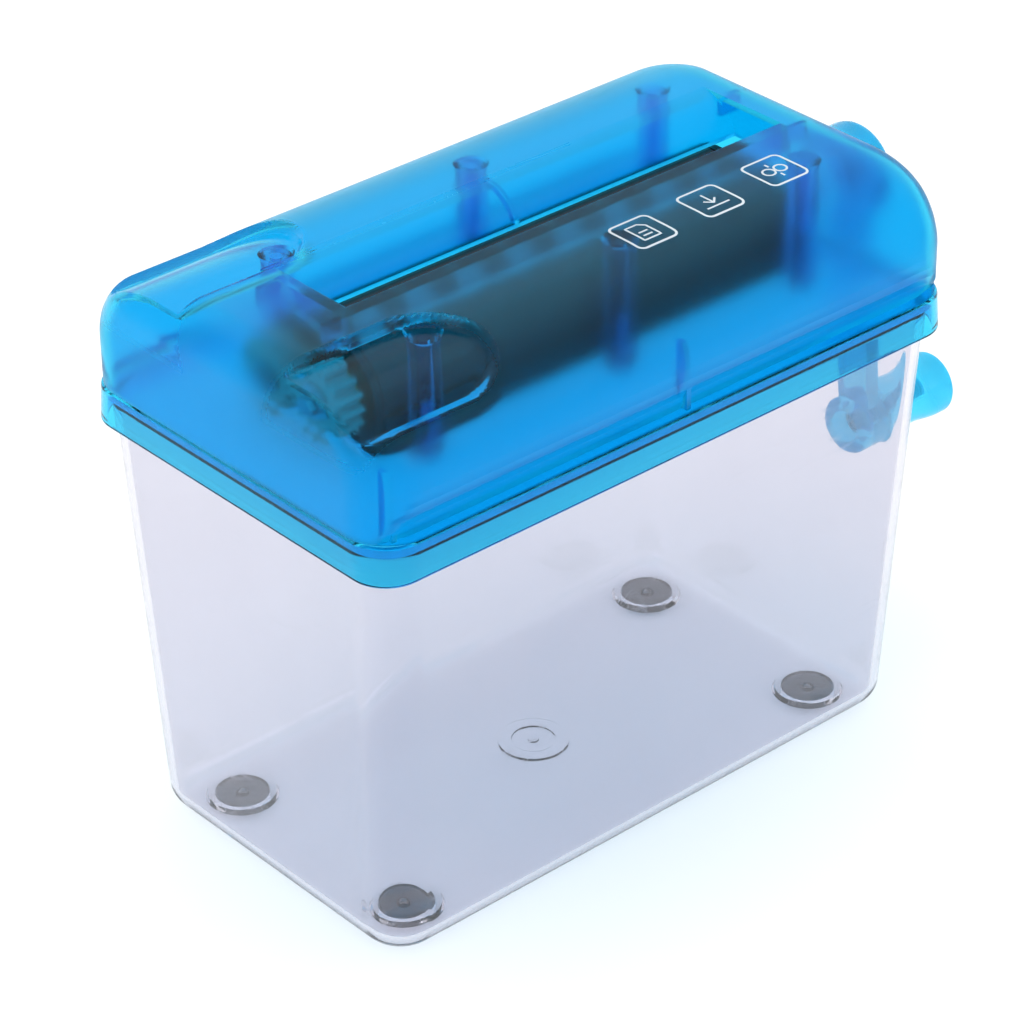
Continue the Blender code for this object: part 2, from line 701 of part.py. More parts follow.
def make_cutter(name, x, collar_first, stuff, parent):
    """A cutter disc and its spacing collar, bored for the hexagon."""
    sides = 18
    bore = hexagon(SHAFT_HEX + BORE_CLEARANCE, sides)
    collar_end = CUTTER_PITCH - PIECE_GAP
    profile = [
        (0.0, bore),
        (0.0, CUTTER_RADIUS),
        (CUTTER_WIDTH, CUTTER_RADIUS),
        (CUTTER_WIDTH, COLLAR_RADIUS),
        (collar_end, COLLAR_RADIUS),
        (collar_end, bore),
    ]
    if collar_first:
        profile = [(collar_end - at, radius) for at, radius in profile]
    cutter = turned(name, profile, sides, closed=True)
    return finish(cutter, stuff["steel"], parent, (x, 0.0, 0.0))


def gear_outline(turn):
    """Involute teeth, thinned a little so that two gears run freely."""
    pitch_radius = GEAR_MODULE * GEAR_TEETH / 2.0
    base = pitch_radius * math.cos(GEAR_PRESSURE)
    tip = pitch_radius + 0.95 * GEAR_MODULE
    root = pitch_radius - 1.2 * GEAR_MODULE
    half_tooth = math.pi / (2.0 * GEAR_TEETH) - GEAR_BACKLASH / (2.0 * pitch_radius)
    roll = math.tan(GEAR_PRESSURE) - GEAR_PRESSURE
    flank = [(root, half_tooth + roll)]
    for share in (0.0, 0.35, 0.7, 1.0):
        radius = base + (tip - base) * share
        pressure = math.acos(min(base / radius, 1.0))
        flank.append((radius, half_tooth + roll - (math.tan(pressure) - pressure)))
    points = []
    for tooth in range(GEAR_TEETH):
        middle = turn + 2.0 * math.pi * tooth / GEAR_TEETH
        for radius, offset in flank:
            points.append((radius * math.cos(middle - offset), radius * math.sin(middle - offset)))
        for radius, offset in reversed(flank):
            points.append((radius * math.cos(middle + offset), radius * math.sin(middle + offset)))
    return points


def make_gear(name, turn, stuff, parent):
    """A plastic spur gear on the left end of a shaft."""
    start = LEFT_PLATE_X - END_PLATE - 2.0 * PIECE_GAP - FLANGE_WIDTH - GEAR_WIDTH
    gear = prism(name, gear_outline(turn), start, start + GEAR_WIDTH)
    bore = hexagon(END_HEX + BORE_CLEARANCE, 12)
    cut(gear, turned("bore", [(start - 1.0, bore), (start + GEAR_WIDTH + 1.0, bore)], 12))
    return finish(gear, stuff["white"], parent)


def make_clip(name, x, stuff, parent):
    """A spring clip that keeps pieces on a shaft's end."""
    inner = END_HEX + BORE_CLEARANCE
    outer = inner + 1.6
    angles = [math.radians(40.0 + 280.0 * step / 8) for step in range(9)]
    outline = [(outer * math.cos(a), outer * math.sin(a)) for a in angles]
    outline += [(inner * math.cos(a) * 1.02, inner * math.sin(a) * 1.02) for a in reversed(angles)]
    clip = prism(name, outline, x, x + 0.8)
    return finish(clip, stuff["steel"], parent)


def make_row(prefix, collar_first, stuff, parent):
    """One shaft's row of cutters; the other row has its collars first."""
    start = WORKS_X - STACK_LENGTH / 2.0 + PIECE_GAP / 2.0
    for number in range(CUTTERS_PER_SHAFT):
        x = start + number * CUTTER_PITCH
        make_cutter(f"{prefix}_cutter_{number + 1}", x, collar_first, stuff, parent)


# ------------------------------------------------------------- the crank
def arm_ring(height, width, inner, thickness):
    """The arm's section at a height: a bar with its corners taken off."""
    half = width / 2.0
    chop = 1.2
    outline = [
        (inner, half - chop), (inner + chop, half),
        (inner + thickness - chop, half), (inner + thickness, half - chop),
        (inner + thickness, -half + chop), (inner + thickness - chop, -half),
        (inner + chop, -half), (inner, -half + chop),
    ]
    return [(x, y, height) for x, y in outline]


def make_crank(stuff, parent):
    """The crank: stub, hub, leaning arm and the eye for the handle."""
    hub = [
        (HUB_INNER, HUB_RADIUS - 1.0),
        (HUB_INNER + 1.0, HUB_RADIUS),
        (HUB_OUTER - 1.8, HUB_RADIUS),
        (HUB_OUTER - 0.5, HUB_RADIUS - 0.7),
        (HUB_OUTER, HUB_RADIUS - 2.2),
    ]
    crank = turned("crank_arm", hub, 24)
    join(crank, turned("stub", [(STUB_START, STUB_RADIUS), (HUB_INNER + 2.0, STUB_RADIUS)], 18))
    top_inner = HUB_OUTER - ARM_THICKNESS - 0.6
    low_inner = ARM_REACH - ARM_THICKNESS
    rings = [
        arm_ring(-CRANK_LENGTH, ARM_WIDTH - 0.5, low_inner, ARM_THICKNESS),
        arm_ring(-0.35 * CRANK_LENGTH, ARM_WIDTH, (top_inner + low_inner) / 2.0 + 1.0, ARM_THICKNESS),
        arm_ring(-0.05 * CRANK_LENGTH, ARM_WIDTH + 1.0, top_inner, ARM_THICKNESS),
    ]
    join(crank, loft("arm", rings))
    eye = [
        (EYE_INNER, EYE_RADIUS - 0.6),
        (EYE_INNER + 0.6, EYE_RADIUS),
        (ARM_REACH, EYE_RADIUS),
    ]
    join(crank, move(turned("eye", eye, 20), 0.0, 0.0, -CRANK_LENGTH))
    cut(crank, turned("socket", [(STUB_START - 1.0, hexagon(END_HEX + BORE_CLEARANCE, 12)),
                                 (SOCKET_END, hexagon(END_HEX + BORE_CLEARANCE, 12))], 12))
    cut(crank, turned("screw_hole", [(SOCKET_END - 1.3, 1.5), (HUB_OUTER + 1.0, 1.5)], 10))
    cut(crank, turned("head_seat", [(HUB_OUTER - 3.2, 4.0), (HUB_OUTER + 1.0, 4.0)], 14))
    hollow = [(EYE_INNER - 1.0, EYE_HOLLOW), (PIN_SEAT, EYE_HOLLOW)]
    cut(crank, move(turned("hollow", hollow, 14), 0.0, 0.0, -CRANK_LENGTH))
    hole = [(EYE_INNER - 1.0, PIN_RADIUS + 0.15), (ARM_REACH + 1.0, PIN_RADIUS + 0.15)]
    cut(crank, move(turned("pin_hole", hole, 12), 0.0, 0.0, -CRANK_LENGTH))
    return finish(crank, stuff["blue"], parent)


def make_crank_screw(stuff, parent):
    """The screw that holds the crank on the drive shaft."""
    seat = HUB_OUTER - 3.2 + PIECE_GAP
    profile = [(CRANK_SCREW_START, 1.3), (seat, 1.3), (seat, 3.5), (seat + 1.6, 3.5), (seat + 2.3, 2.4)]
    screw = turned("crank_screw", profile, 12)
    return finish(screw, stuff["steel"], parent)


def make_knob(stuff, parent):
    """The handle, slightly waisted, bored for its pin."""
    bore = circle(PIN_RADIUS + RUNNING_CLEARANCE, 20, around=True)
    profile = [
        (KNOB_END - 6.0, bore),
        (KNOB_START, bore),
        (KNOB_START, KNOB_RADIUS - 0.9),
        (KNOB_START + 0.8, KNOB_RADIUS - 0.2),
        (KNOB_START + 3.0, KNOB_RADIUS - 0.5),
        (KNOB_START + 8.0, KNOB_WAIST),
        (KNOB_END - 6.0, KNOB_RADIUS - 0.3),
        (KNOB_END - 2.0, KNOB_RADIUS),
        (KNOB_END - 0.9, KNOB_RADIUS - 0.6),
        (KNOB_END - 0.3, KNOB_RADIUS - 2.0),
        (KNOB_END, KNOB_RADIUS - 3.8),
    ]
    knob = turned("knob_grip", profile, 20)
    return finish(knob, stuff["blue"], parent)


def make_pin(stuff, parent):
    """The headed pin the handle turns on."""
    seat = PIN_SEAT - PIECE_GAP
    head = [(seat - 1.4, 2.4), (seat - 1.0, 3.3), (seat, 3.3)]
    profile = head + [(seat, PIN_RADIUS), (KNOB_END - 6.4, PIN_RADIUS)]
    pin = turned("knob_pin", profile, 20)
    return finish(pin, stuff["steel"], parent)


# --------------------------------------------------------------- assembly
def make_works(stuff, middle, drive, driven):
    """Everything between the base frame and the cover."""
    left_edge = LEFT_PLATE_X - END_PLATE
    make_end_plate("left_plate", left_edge, stuff, middle)
    make_end_plate("right_plate", RIGHT_PLATE_X, stuff, middle)
    right_edge = RIGHT_PLATE_X + END_PLATE
    make_bush("bush_1", left_edge, DRIVE_Y, -1, stuff, middle)
    make_bush("bush_2", left_edge, DRIVEN_Y, -1, stuff, middle)
    make_bush("bush_3", right_edge, DRIVE_Y, 1, stuff, middle)
    make_bush("bush_4", right_edge, DRIVEN_Y, 1, stuff, middle)
    make_comb("front_comb", -1, stuff, middle)
    make_comb("rear_comb", 1, stuff, middle)
    gear_end = left_edge - 2.0 * PIECE_GAP - FLANGE_WIDTH - GEAR_WIDTH
    shaft_left = gear_end - 3.0
    clip_x = gear_end - PIECE_GAP - 0.8
    make_shaft("drive_shaft", (shaft_left, SHAFT_END), True, stuff, drive)
    make_shaft("driven_shaft", (shaft_left, right_edge + 5.0), False, stuff, driven)
    make_row("drive", False, stuff, drive)
    make_row("driven", True, stuff, driven)
    make_gear("drive_gear", 0.0, stuff, drive)
    make_gear("driven_gear", math.pi / GEAR_TEETH, stuff, driven)
    make_clip("clip_1", clip_x, stuff, drive)
    make_clip("clip_2", clip_x, stuff, driven)
    make_clip("clip_3", right_edge + 2.0 * PIECE_GAP + FLANGE_WIDTH, stuff, driven)


def main():
    """Clear the file and build the shredder."""
    for old in list(bpy.data.objects):
        bpy.data.objects.remove(old, do_unlink=True)
    stuff = make_materials()
    middle = joint_frame("body_middle", None, (BODY_X, 0.0, 0.0))
    drive = joint_frame("drive_axis", middle, (0.0, DRIVE_Y, AXLE_Z))
    driven = joint_frame("driven_axis", middle, (0.0, DRIVEN_Y, AXLE_Z))
    knob = joint_frame("knob_axis", drive, (0.0, 0.0, -CRANK_LENGTH))
    make_bin(stuff, middle)
    make_feet(stuff, middle)
    make_cover(stuff, middle)
    make_base(stuff, middle)
    make_cover_screws(stuff, middle)
    make_works(stuff, middle, drive, driven)
    make_crank(stuff, drive)
    make_crank_screw(stuff, drive)
    make_knob(stuff, knob)
    make_pin(stuff, knob)


main()
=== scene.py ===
import json
import math

import bmesh
import bpy
import numpy as np
from mathutils import Matrix, Vector

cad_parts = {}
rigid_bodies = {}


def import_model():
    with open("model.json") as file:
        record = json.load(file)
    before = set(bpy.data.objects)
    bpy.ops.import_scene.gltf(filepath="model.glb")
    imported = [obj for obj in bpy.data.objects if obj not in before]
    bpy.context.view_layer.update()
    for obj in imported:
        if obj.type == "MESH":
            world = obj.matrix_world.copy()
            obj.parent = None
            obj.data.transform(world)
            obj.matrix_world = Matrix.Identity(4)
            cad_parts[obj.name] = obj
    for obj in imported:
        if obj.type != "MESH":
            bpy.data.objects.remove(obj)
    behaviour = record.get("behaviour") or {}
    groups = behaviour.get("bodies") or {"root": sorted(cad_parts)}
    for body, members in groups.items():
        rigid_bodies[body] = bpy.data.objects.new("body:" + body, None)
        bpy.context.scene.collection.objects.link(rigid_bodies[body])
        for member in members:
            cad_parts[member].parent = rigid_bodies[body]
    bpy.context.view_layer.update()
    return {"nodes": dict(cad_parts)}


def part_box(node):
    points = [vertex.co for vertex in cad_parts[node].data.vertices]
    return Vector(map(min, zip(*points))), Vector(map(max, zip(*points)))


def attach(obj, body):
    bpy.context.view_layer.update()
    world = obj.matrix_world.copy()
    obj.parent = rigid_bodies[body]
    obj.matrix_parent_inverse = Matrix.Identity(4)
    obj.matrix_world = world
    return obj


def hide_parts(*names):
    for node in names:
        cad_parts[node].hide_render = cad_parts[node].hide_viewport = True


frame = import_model()
nodes = frame["nodes"]

# %% [markdown]
# ## Sizes taken from the measured model
# Every new surface is worked out in millimetres from the middle of the bin,
# because those are the numbers a maker would write on a drawing. The boxes of
# the measured parts give the sizes, so the new surfaces fit without guessing.
# %% Read the main sizes
MM = 0.001


def corners_of(name):
    """The two corners of a part's box, in millimetres."""
    low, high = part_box(name)
    return np.array(low) / MM, np.array(high) / MM


bin_low, bin_high = corners_of("bin")
cover_low, cover_high = corners_of("top_cover")
band_low = corners_of("base_frame")[0]
MIDDLE = np.array([(cover_low[0] + cover_high[0]) / 2.0, 0.0, 0.0])
HALF_LENGTH = (cover_high[0] - cover_low[0]) / 2.0
HALF_DEPTH = (cover_high[1] - cover_low[1]) / 2.0
HEAD_TOP = cover_high[2]
PIECE_GAP, BAND_HEIGHT = 0.3, 9.0
BAND_TOP = band_low[2] + BAND_HEIGHT
COVER_FOOT = BAND_TOP + PIECE_GAP
shaft_low, shaft_high = corners_of("drive_shaft")
AXLE = np.array([(shaft_low[1] + shaft_high[1]) / 2.0, (shaft_low[2] + shaft_high[2]) / 2.0])
grip_low, grip_high = corners_of("knob_grip")
GRIP_Z = (grip_low[2] + grip_high[2]) / 2.0
print("head", 2 * HALF_LENGTH, 2 * HALF_DEPTH, HEAD_TOP, "axle", AXLE, "handle", GRIP_Z)

# %% [markdown]
# ## Turning arrays of points into meshes
# A moulding can be seen as a stack of closed rings, each with the same number
# of points. Numpy makes all the rings at once, and these helpers only sew
# them together. Rings are used, not sculpting, because a ring's size and
# height are exact, and the same few lines serve every part.
# %% Sew rings into a closed mesh
SHARP = math.radians(32.0)


def sew(rings, loop=False):
    """Quads between rings: point c of ring r has number r * columns + c."""
    count, columns = rings.shape[0], rings.shape[1]
    last = count if loop else count - 1
    row, column = np.meshgrid(np.arange(last), np.arange(columns), indexing="ij")
    here = row * columns + column
    beside = row * columns + (column + 1) % columns
    above = ((row + 1) % count) * columns + (column + 1) % columns
    over = ((row + 1) % count) * columns + column
    return np.stack([here, beside, above, over], axis=-1).reshape(-1, 4).tolist()


def hold_edges(rings, reach=0.04):
    """Add a ring just inside both ends of every tall step between two rings.

    Shading blends between rings, so without them a small rounding would
    bend the light over the whole flat wall beside it.
    """
    held = [rings[0]]
    for low, high in zip(rings[:-1], rings[1:]):
        gap = np.linalg.norm(high - low, axis=1).min()
        if gap > 1.0:
            held += [low + (high - low) * reach / gap, high + (low - high) * reach / gap]
        held.append(high)
    return np.array(held)


def mesh_object(name, rings, loop=False):
    """A closed object from rings of points in millimetres."""
    rings = np.asarray(rings, float)
    rings = hold_edges(np.concatenate([rings, rings[:1]]))[:-1] if loop else hold_edges(rings)
    columns = rings.shape[1]
    faces = sew(rings, loop)
    if not loop:
        total = rings.shape[0] * columns
        faces.append(list(range(columns)))
        faces.append(list(range(total - columns, total)))
    points = (rings.reshape(-1, 3) + MIDDLE) * MM
    mesh = bpy.data.meshes.new(name)
    mesh.from_pydata(points.tolist(), [], faces)
    tidy(mesh)
    made = bpy.data.objects.new(name, mesh)
    bpy.context.scene.collection.objects.link(made)
    return made


def shade_smooth(mesh):
    """Smooth shading, except across edges sharper than SHARP."""
    mesh.polygons.foreach_set("use_smooth", np.ones(len(mesh.polygons), bool))
    mesh.set_sharp_from_angle(angle=SHARP)


def tidy(mesh):
    """Merge doubles, drop faces without area and turn every face outwards."""
    work = bmesh.new()
    work.from_mesh(mesh)
    bmesh.ops.remove_doubles(work, verts=work.verts, dist=2e-7)
    bmesh.ops.dissolve_degenerate(work, edges=work.edges, dist=1e-7)
    bmesh.ops.recalc_face_normals(work, faces=work.faces)
    work.to_mesh(mesh)
    work.free()
    shade_smooth(mesh)


print("ring of 4 x 2 sews into", len(sew(np.zeros((2, 4, 3)))), "faces")

# %% [markdown]
# ## Joining and cutting mouldings
# The slot, the screw towers and the cups over the feet meet the walls that
# they are moulded with. Each is worked out as a plain surface of its own and
# then joined or cut, because the seam where two surfaces cross has no short
# formula. The result is kept as the piece's own mesh.
# %% Join and cut closed pieces
def carve(target, tools, operation):
    """Join (UNION) or cut (DIFFERENCE) every tool, and keep the result."""
    for tool in tools:
        step = target.modifiers.new("carve", "BOOLEAN")
        step.operation = operation
        step.solver = "MANIFOLD"
        step.object = tool
    graph = bpy.context.evaluated_depsgraph_get()
    result = bpy.data.meshes.new_from_object(target.evaluated_get(graph))
    target.modifiers.clear()
    target.data = result
    for tool in tools:
        bpy.data.objects.remove(tool, do_unlink=True)
    result.materials.clear()
    result.polygons.foreach_set("material_index", np.zeros(len(result.polygons), np.int32))
    shade_smooth(result)
    return target


def turned(name, profile, sides, centre, along="X", loop=False):
    """A turned piece: each (position, radius) pair becomes a circle.

    A point at angle t on the circle is (radius * cos t, radius * sin t)
    across the axis, at that position along it.
    """
    profile = np.asarray(profile, float)
    angle = np.linspace(0.0, 2.0 * np.pi, sides, endpoint=False)
    at = np.repeat(profile[:, :1], sides, axis=1)
    first = profile[:, 1:2] * np.cos(angle)
    second = profile[:, 1:2] * np.sin(angle)
    order = (at, first, second) if along == "X" else (first, second, at)
    return mesh_object(name, np.stack(order, axis=-1) + np.array(centre, float), loop)


def slab(name, outline, low, high):
    """A flat outline, y and z, pulled straight between two x positions."""
    outline = np.asarray(outline, float)
    rings = [np.column_stack([np.full(len(outline), at), outline]) for at in (low, high)]
    return mesh_object(name, rings)


def block(name, x, y, z):
    """A plain rib between three pairs of limits."""
    return slab(name, [(y[0], z[0]), (y[1], z[0]), (y[1], z[1]), (y[0], z[1])], x[0], x[1])


print("carving uses closed pieces only")

# %% [markdown]
# ## The outline that every moulding shares
# Seen from above the bin, the band and the cover are all rectangles with
# round corners. One formula gives them all with the same number of points,
# which is what lets a small ring be sewn to a large one. Points lie closer
# together near the left end, where the finger recesses need them.
# %% A rectangle with round corners
LONG_SHARES = np.concatenate([np.linspace(0.0, 0.33, 92), np.linspace(0.33, 1.0, 32)[1:]])
LEFT_SHARES, RIGHT_SHARES = np.linspace(0.0, 1.0, 81), np.linspace(0.0, 1.0, 13)
CORNER_CELLS = 12


def plan(half_x, half_y, corner):
    """Round-cornered rectangles, one for each entry of the given sizes.

    Corner point: centre + corner * (cos t, sin t). Side point: a share of
    the way along, with close shares near the left end.
    """
    half_x, half_y, corner = np.broadcast_arrays(*np.atleast_1d(half_x, half_y, corner))
    turn = np.linspace(0.0, np.pi / 2.0, CORNER_CELLS + 1)
    share = LONG_SHARES[1:-1]
    pieces = []
    for quarter, (sx, sy) in enumerate(((1, 1), (-1, 1), (-1, -1), (1, -1))):
        angle = quarter * np.pi / 2.0 + turn
        x = sx * (half_x - corner)[:, None] + corner[:, None] * np.cos(angle)
        y = sy * (half_y - corner)[:, None] + corner[:, None] * np.sin(angle)
        pieces.append(np.stack([x, y], axis=-1))
        reach_x, reach_y = (half_x - corner)[:, None], (half_y - corner)[:, None]
        if quarter in (0, 2):
            run = share if quarter == 2 else share[::-1]
            x = -reach_x + 2.0 * reach_x * run
            side = np.stack([x, np.broadcast_to(sy * half_y[:, None], x.shape)], axis=-1)
        else:
            run = RIGHT_SHARES[1:-1] if quarter == 3 else LEFT_SHARES[-2:0:-1]
            y = -reach_y + 2.0 * reach_y * run
            side = np.stack([np.broadcast_to(sx * half_x[:, None], y.shape), y], axis=-1)
        pieces.append(side)
    return np.concatenate(pieces, axis=1)


def stack(half_x, half_y, corner, height):
    """Rings in space from arrays of sizes and heights."""
    *sizes, height = np.broadcast_arrays(*np.atleast_1d(half_x, half_y, corner, height))
    flat = plan(*sizes)
    level = np.broadcast_to(height[:, None], flat.shape[:2])
    return np.concatenate([flat, level[..., None]], axis=-1)


print("points in a ring:", plan(10.0, 8.0, 2.0).shape[1])

# %% [markdown]
# ## Where the cover's surface runs
# The cover rises straight, then its two long shoulders roll over in a quarter
# ellipse and its ends in a smaller round. A wall of even thickness needs the
# same surface again further in, so one function gives the surface at any
# depth: depth 0 is the outside and a depth of one wall is the inside.
# %% The cover's cross-section
WALL = 2.2
HEAD_CORNER = 11.8
SHOULDER_RISE = 19.0
SHOULDER_WIDTH = HALF_DEPTH / 2.0
END_ROUND = 9.5
SHOULDER_START = HEAD_TOP - SHOULDER_RISE
FLAT_HALF = HALF_DEPTH - SHOULDER_WIDTH


def depth_under(y, z):
    """How deep a point lies under the shoulder.

    It is the d for which (across / (width - d)) ** 2 plus
    (up / (rise - d)) ** 2 equals 1, found by halving an interval.
    """
    across, up = np.abs(y) - FLAT_HALF, z - SHOULDER_START
    low, high = np.full(across.shape, -3.0), np.full(across.shape, 15.0)
    for _ in range(34):
        middle = (low + high) / 2.0
        size = (across / (SHOULDER_WIDTH - middle)) ** 2 + (up / (SHOULDER_RISE - middle)) ** 2
        low, high = np.where(size < 1.0, middle, low), np.where(size < 1.0, high, middle)
    return np.where(across > 0.0, low, HEAD_TOP - z)


def sink(points, depth):
    """Points moved square to the shoulder until they lie at a depth."""
    x, y, z = points[..., 0], points[..., 1], points[..., 2]
    now = depth_under(y, z)
    goal = np.maximum(now, depth)
    across, up = np.abs(y) - FLAT_HALF, z - SHOULDER_START
    new_y = FLAT_HALF + across * (SHOULDER_WIDTH - goal) / (SHOULDER_WIDTH - now)
    new_z = SHOULDER_START + up * (SHOULDER_RISE - goal) / (SHOULDER_RISE - now)
    flat = across <= 0.0
    new_y, new_z = np.where(flat, np.abs(y), new_y), np.where(flat, HEAD_TOP - goal, new_z)
    return np.stack([x, np.copysign(new_y, y), new_z], axis=-1)


print("depth 2 mm under the top:", depth_under(np.array([0.0]), np.array([HEAD_TOP - 2.0])))

# %% [markdown]
# ## The finger recesses
# At the left end each shoulder has a shallow thumb-shaped recess, round at
# one end and running out at the other. It could be cut with a tool shape,
# but its rim is softly rounded, so the surface itself is pressed in by a
# smooth mask: 1 on the floor of the recess and 0 outside its rim.
# %% Press the recesses into the surface
RECESS = {"x": -HALF_LENGTH + 29.7, "y": HALF_DEPTH - 19.7, "z": HEAD_TOP - 3.0}
RECESS_RADIUS, RECESS_TILT, RECESS_DEPTH, RIM = 14.2, math.radians(15.0), 2.6, 1.6


def recess_mask(points, grow=0.0, rim=RIM):
    """1 inside the thumb outline, 0 outside, smooth between.

    The distance to the outline's middle line is measured across the tilted
    shoulder, and t * t * (3 - 2 t) softens the rim.
    """
    along = points[..., 0] - RECESS["x"]
    across = (np.abs(points[..., 1]) - RECESS["y"]) * math.cos(RECESS_TILT)
    across = across - (points[..., 2] - RECESS["z"]) * math.sin(RECESS_TILT)
    away = np.hypot(np.maximum(along, 0.0), across)
    t = np.clip((RECESS_RADIUS + grow + 0.4 - away) / rim, 0.0, 1.0)
    high_enough = np.clip((points[..., 2] - SHOULDER_START - 4.0) / 3.0, 0.0, 1.0)
    return t * t * (3.0 - 2.0 * t) * high_enough


def depth_at(points):
    """How far the recess presses the surface in at each point."""
    return float((RECESS_DEPTH * recess_mask(points)).max())


def cover_skin(depth, foot, steps, rim):
    """Rings of the cover's surface at a depth, from its foot to its top.

    Shoulder ring at angle t: height start + rise * sin t, half depth
    flat + width * cos t. The last rings close in on the middle line.
    """
    length, corner, end = HALF_LENGTH - depth, HEAD_CORNER - depth, END_ROUND - depth
    angle = np.linspace(0.0, np.pi / 2.0, steps)
    height = SHOULDER_START + (SHOULDER_RISE - depth) * np.sin(angle)
    half_y = FLAT_HALF + (SHOULDER_WIDTH - depth) * np.cos(angle)
    over = np.clip(height - (HEAD_TOP - END_ROUND), 0.0, end)
    drawn = end - np.sqrt(end * end - over * over)
    low = stack(length, HALF_DEPTH - depth, corner, np.linspace(foot, SHOULDER_START, 5)[:-1])
    side = stack(length - drawn, half_y, np.maximum(corner - 0.75 * drawn, 1.5), height)
    fine = steps * 2 // 7
    close = 1.0 - np.concatenate([np.linspace(0.0, 0.42, fine)[1:], np.linspace(0.42, 1.0, 11)[1:]])
    last_y, last_x = half_y[-1], (length - drawn)[-1]
    last_corner = max(corner - 0.75 * drawn[-1], 1.5)
    roof_x = last_x - last_y * (1.0 - close)
    roof = stack(roof_x, last_y * close, last_corner * close, np.full(len(close), HEAD_TOP - depth))
    rings = np.concatenate([low, side, roof])
    mask = recess_mask(rings, depth, rim)
    return sink(rings, depth + RECESS_DEPTH * mask)


skin = cover_skin(0.0, COVER_FOOT, 76, RIM)
print("cover skin rings x points:", skin.shape[:2], "top", skin[..., 2].max())

# %% [markdown]
# ## The cover
# The cover is one hollow moulding. Its outside and inside surfaces are sewn
# together round a softly rounded foot, so light meets two real surfaces of
# the plastic and the wall shows as a darker line at the edges. The feed
# funnel, the six screw towers and the ribs are joined to it, and then the
# slot, the screw holes and the hole for the crank are cut.
# %% The cover's shell
outer, inner = skin, cover_skin(WALL, COVER_FOOT, 40, 5.0)
round_off = 0.45
turn = np.linspace(0.0, np.pi, 9)[1:-1]
foot_in = WALL / 2.0 - (WALL / 2.0) * np.cos(turn)
foot_up = COVER_FOOT + round_off * (1.0 - np.sin(turn))
foot = stack(HALF_LENGTH - foot_in, HALF_DEPTH - foot_in, HEAD_CORNER - foot_in, foot_up)
outer[0, :, 2] = COVER_FOOT + round_off
inner[0, :, 2] = COVER_FOOT + round_off
shell = np.concatenate([inner[::-1], foot[::-1], outer])
cover = mesh_object("cover_moulding", shell)
print("cover shell faces:", len(cover.data.polygons))

# %% [markdown]
# ### Funnel, towers and ribs
# The funnel is upright in front and curves down behind, so a sheet slides
# towards the cutters. The towers take the screws that hold the head
# together, and thin ribs with hooks stiffen the ends of the slot.
# %% The funnel's outline and the screw towers
SLOT_X = (-HALF_LENGTH + 28.2, HALF_LENGTH - 13.5)
SLOT_FRONT, SLOT_BACK = -7.2, 16.5
FUNNEL_FOOT = HEAD_TOP - 8.7
FUNNEL_WALL, RIB = 1.6, 0.65
SLOPE_Y, SLOPE_Z, SLOPE_WIDTH = 19.6, HEAD_TOP - 11.0, 12.3
TOWERS_X = (-HALF_LENGTH + 37.0, 8.0, HALF_LENGTH - 21.0)
TOWERS_Y = (-21.8, 27.5)


def funnel_outline(grow, foot, top, front):
    """Upright in front; behind, a quarter ellipse that ends level with the roof.

    y = slope y - (slope width - grow) * cos t
    z = slope z + (roof - slope z - grow) * sin t
    """
    t = np.linspace(0.0, np.pi / 2.0, 49)
    y = SLOPE_Y - (SLOPE_WIDTH - grow) * np.cos(t)
    z = SLOPE_Z + (HEAD_TOP + 0.05 - SLOPE_Z - grow) * np.sin(t)
    keep = (z > foot + 0.01) & (z < top - 0.01)
    back = np.stack([y[keep], z[keep]], axis=-1)[::-1]
    ends = [(front, foot), (front, top), (back[0, 0], top)]
    return np.concatenate([np.array(ends), back, [(back[-1, 0], foot)]])


CEILING = HEAD_TOP - WALL / 2.0
WORKS_FLOOR = cover_low[2]
extras = []
for x in TOWERS_X:
    for y in TOWERS_Y:
        place = np.array([[x, y, HEAD_TOP]])
        roof = HEAD_TOP - 1.1 - depth_at(place)
        profile = [(WORKS_FLOOR, 3.75), (roof - 4.0, 3.45), (roof - 2.4, 3.6), (roof, 4.6)]
        extras.append(turned("tower", profile, 40, (x, y, 0.0), "Z"))
print("towers:", len(extras))

# %% [markdown]
# The ribs follow the funnel's walls. Two hooks grow out of each end of the
# slot, a thin rib runs down the curved wall behind it, and low ribs stiffen
# the front wall. They are plain closed strips that end inside the walls.
# %% Ribs and hooks
for end, outwards in ((SLOT_X[0] - FUNNEL_WALL, -1), (SLOT_X[1] + FUNNEL_WALL, 1)):
    for y in (SLOT_FRONT - 0.8, SLOT_BACK - 2.6):
        reach = sorted((end - outwards * 0.9, end + outwards * 5.5))
        extras.append(block("hook", reach, (y - RIB, y + RIB), (CEILING - 5.0, CEILING)))
behind = funnel_outline(FUNNEL_WALL + 1.5, FUNNEL_FOOT, CEILING, 0.0)
extras.append(slab("rib", behind, 5.5 - RIB, 5.5 + RIB))
wall_y = -HALF_DEPTH + WALL / 2.0
low_rib_z = (COVER_FOOT + 0.5, SHOULDER_START + 5.0)
for x, start in ((2.2, wall_y), (-HALF_LENGTH + 6.0, wall_y + 1.6)):
    extras.append(block("low_rib", (x - RIB, x + RIB), (start, start + 4.0), low_rib_z))
walls = funnel_outline(FUNNEL_WALL, FUNNEL_FOOT, HEAD_TOP - 1.0, SLOT_FRONT - FUNNEL_WALL)
extras.append(slab("funnel", walls, SLOT_X[0] - FUNNEL_WALL, SLOT_X[1] + FUNNEL_WALL))
carve(cover, extras, "UNION")
print("joined cover faces:", len(cover.data.polygons))

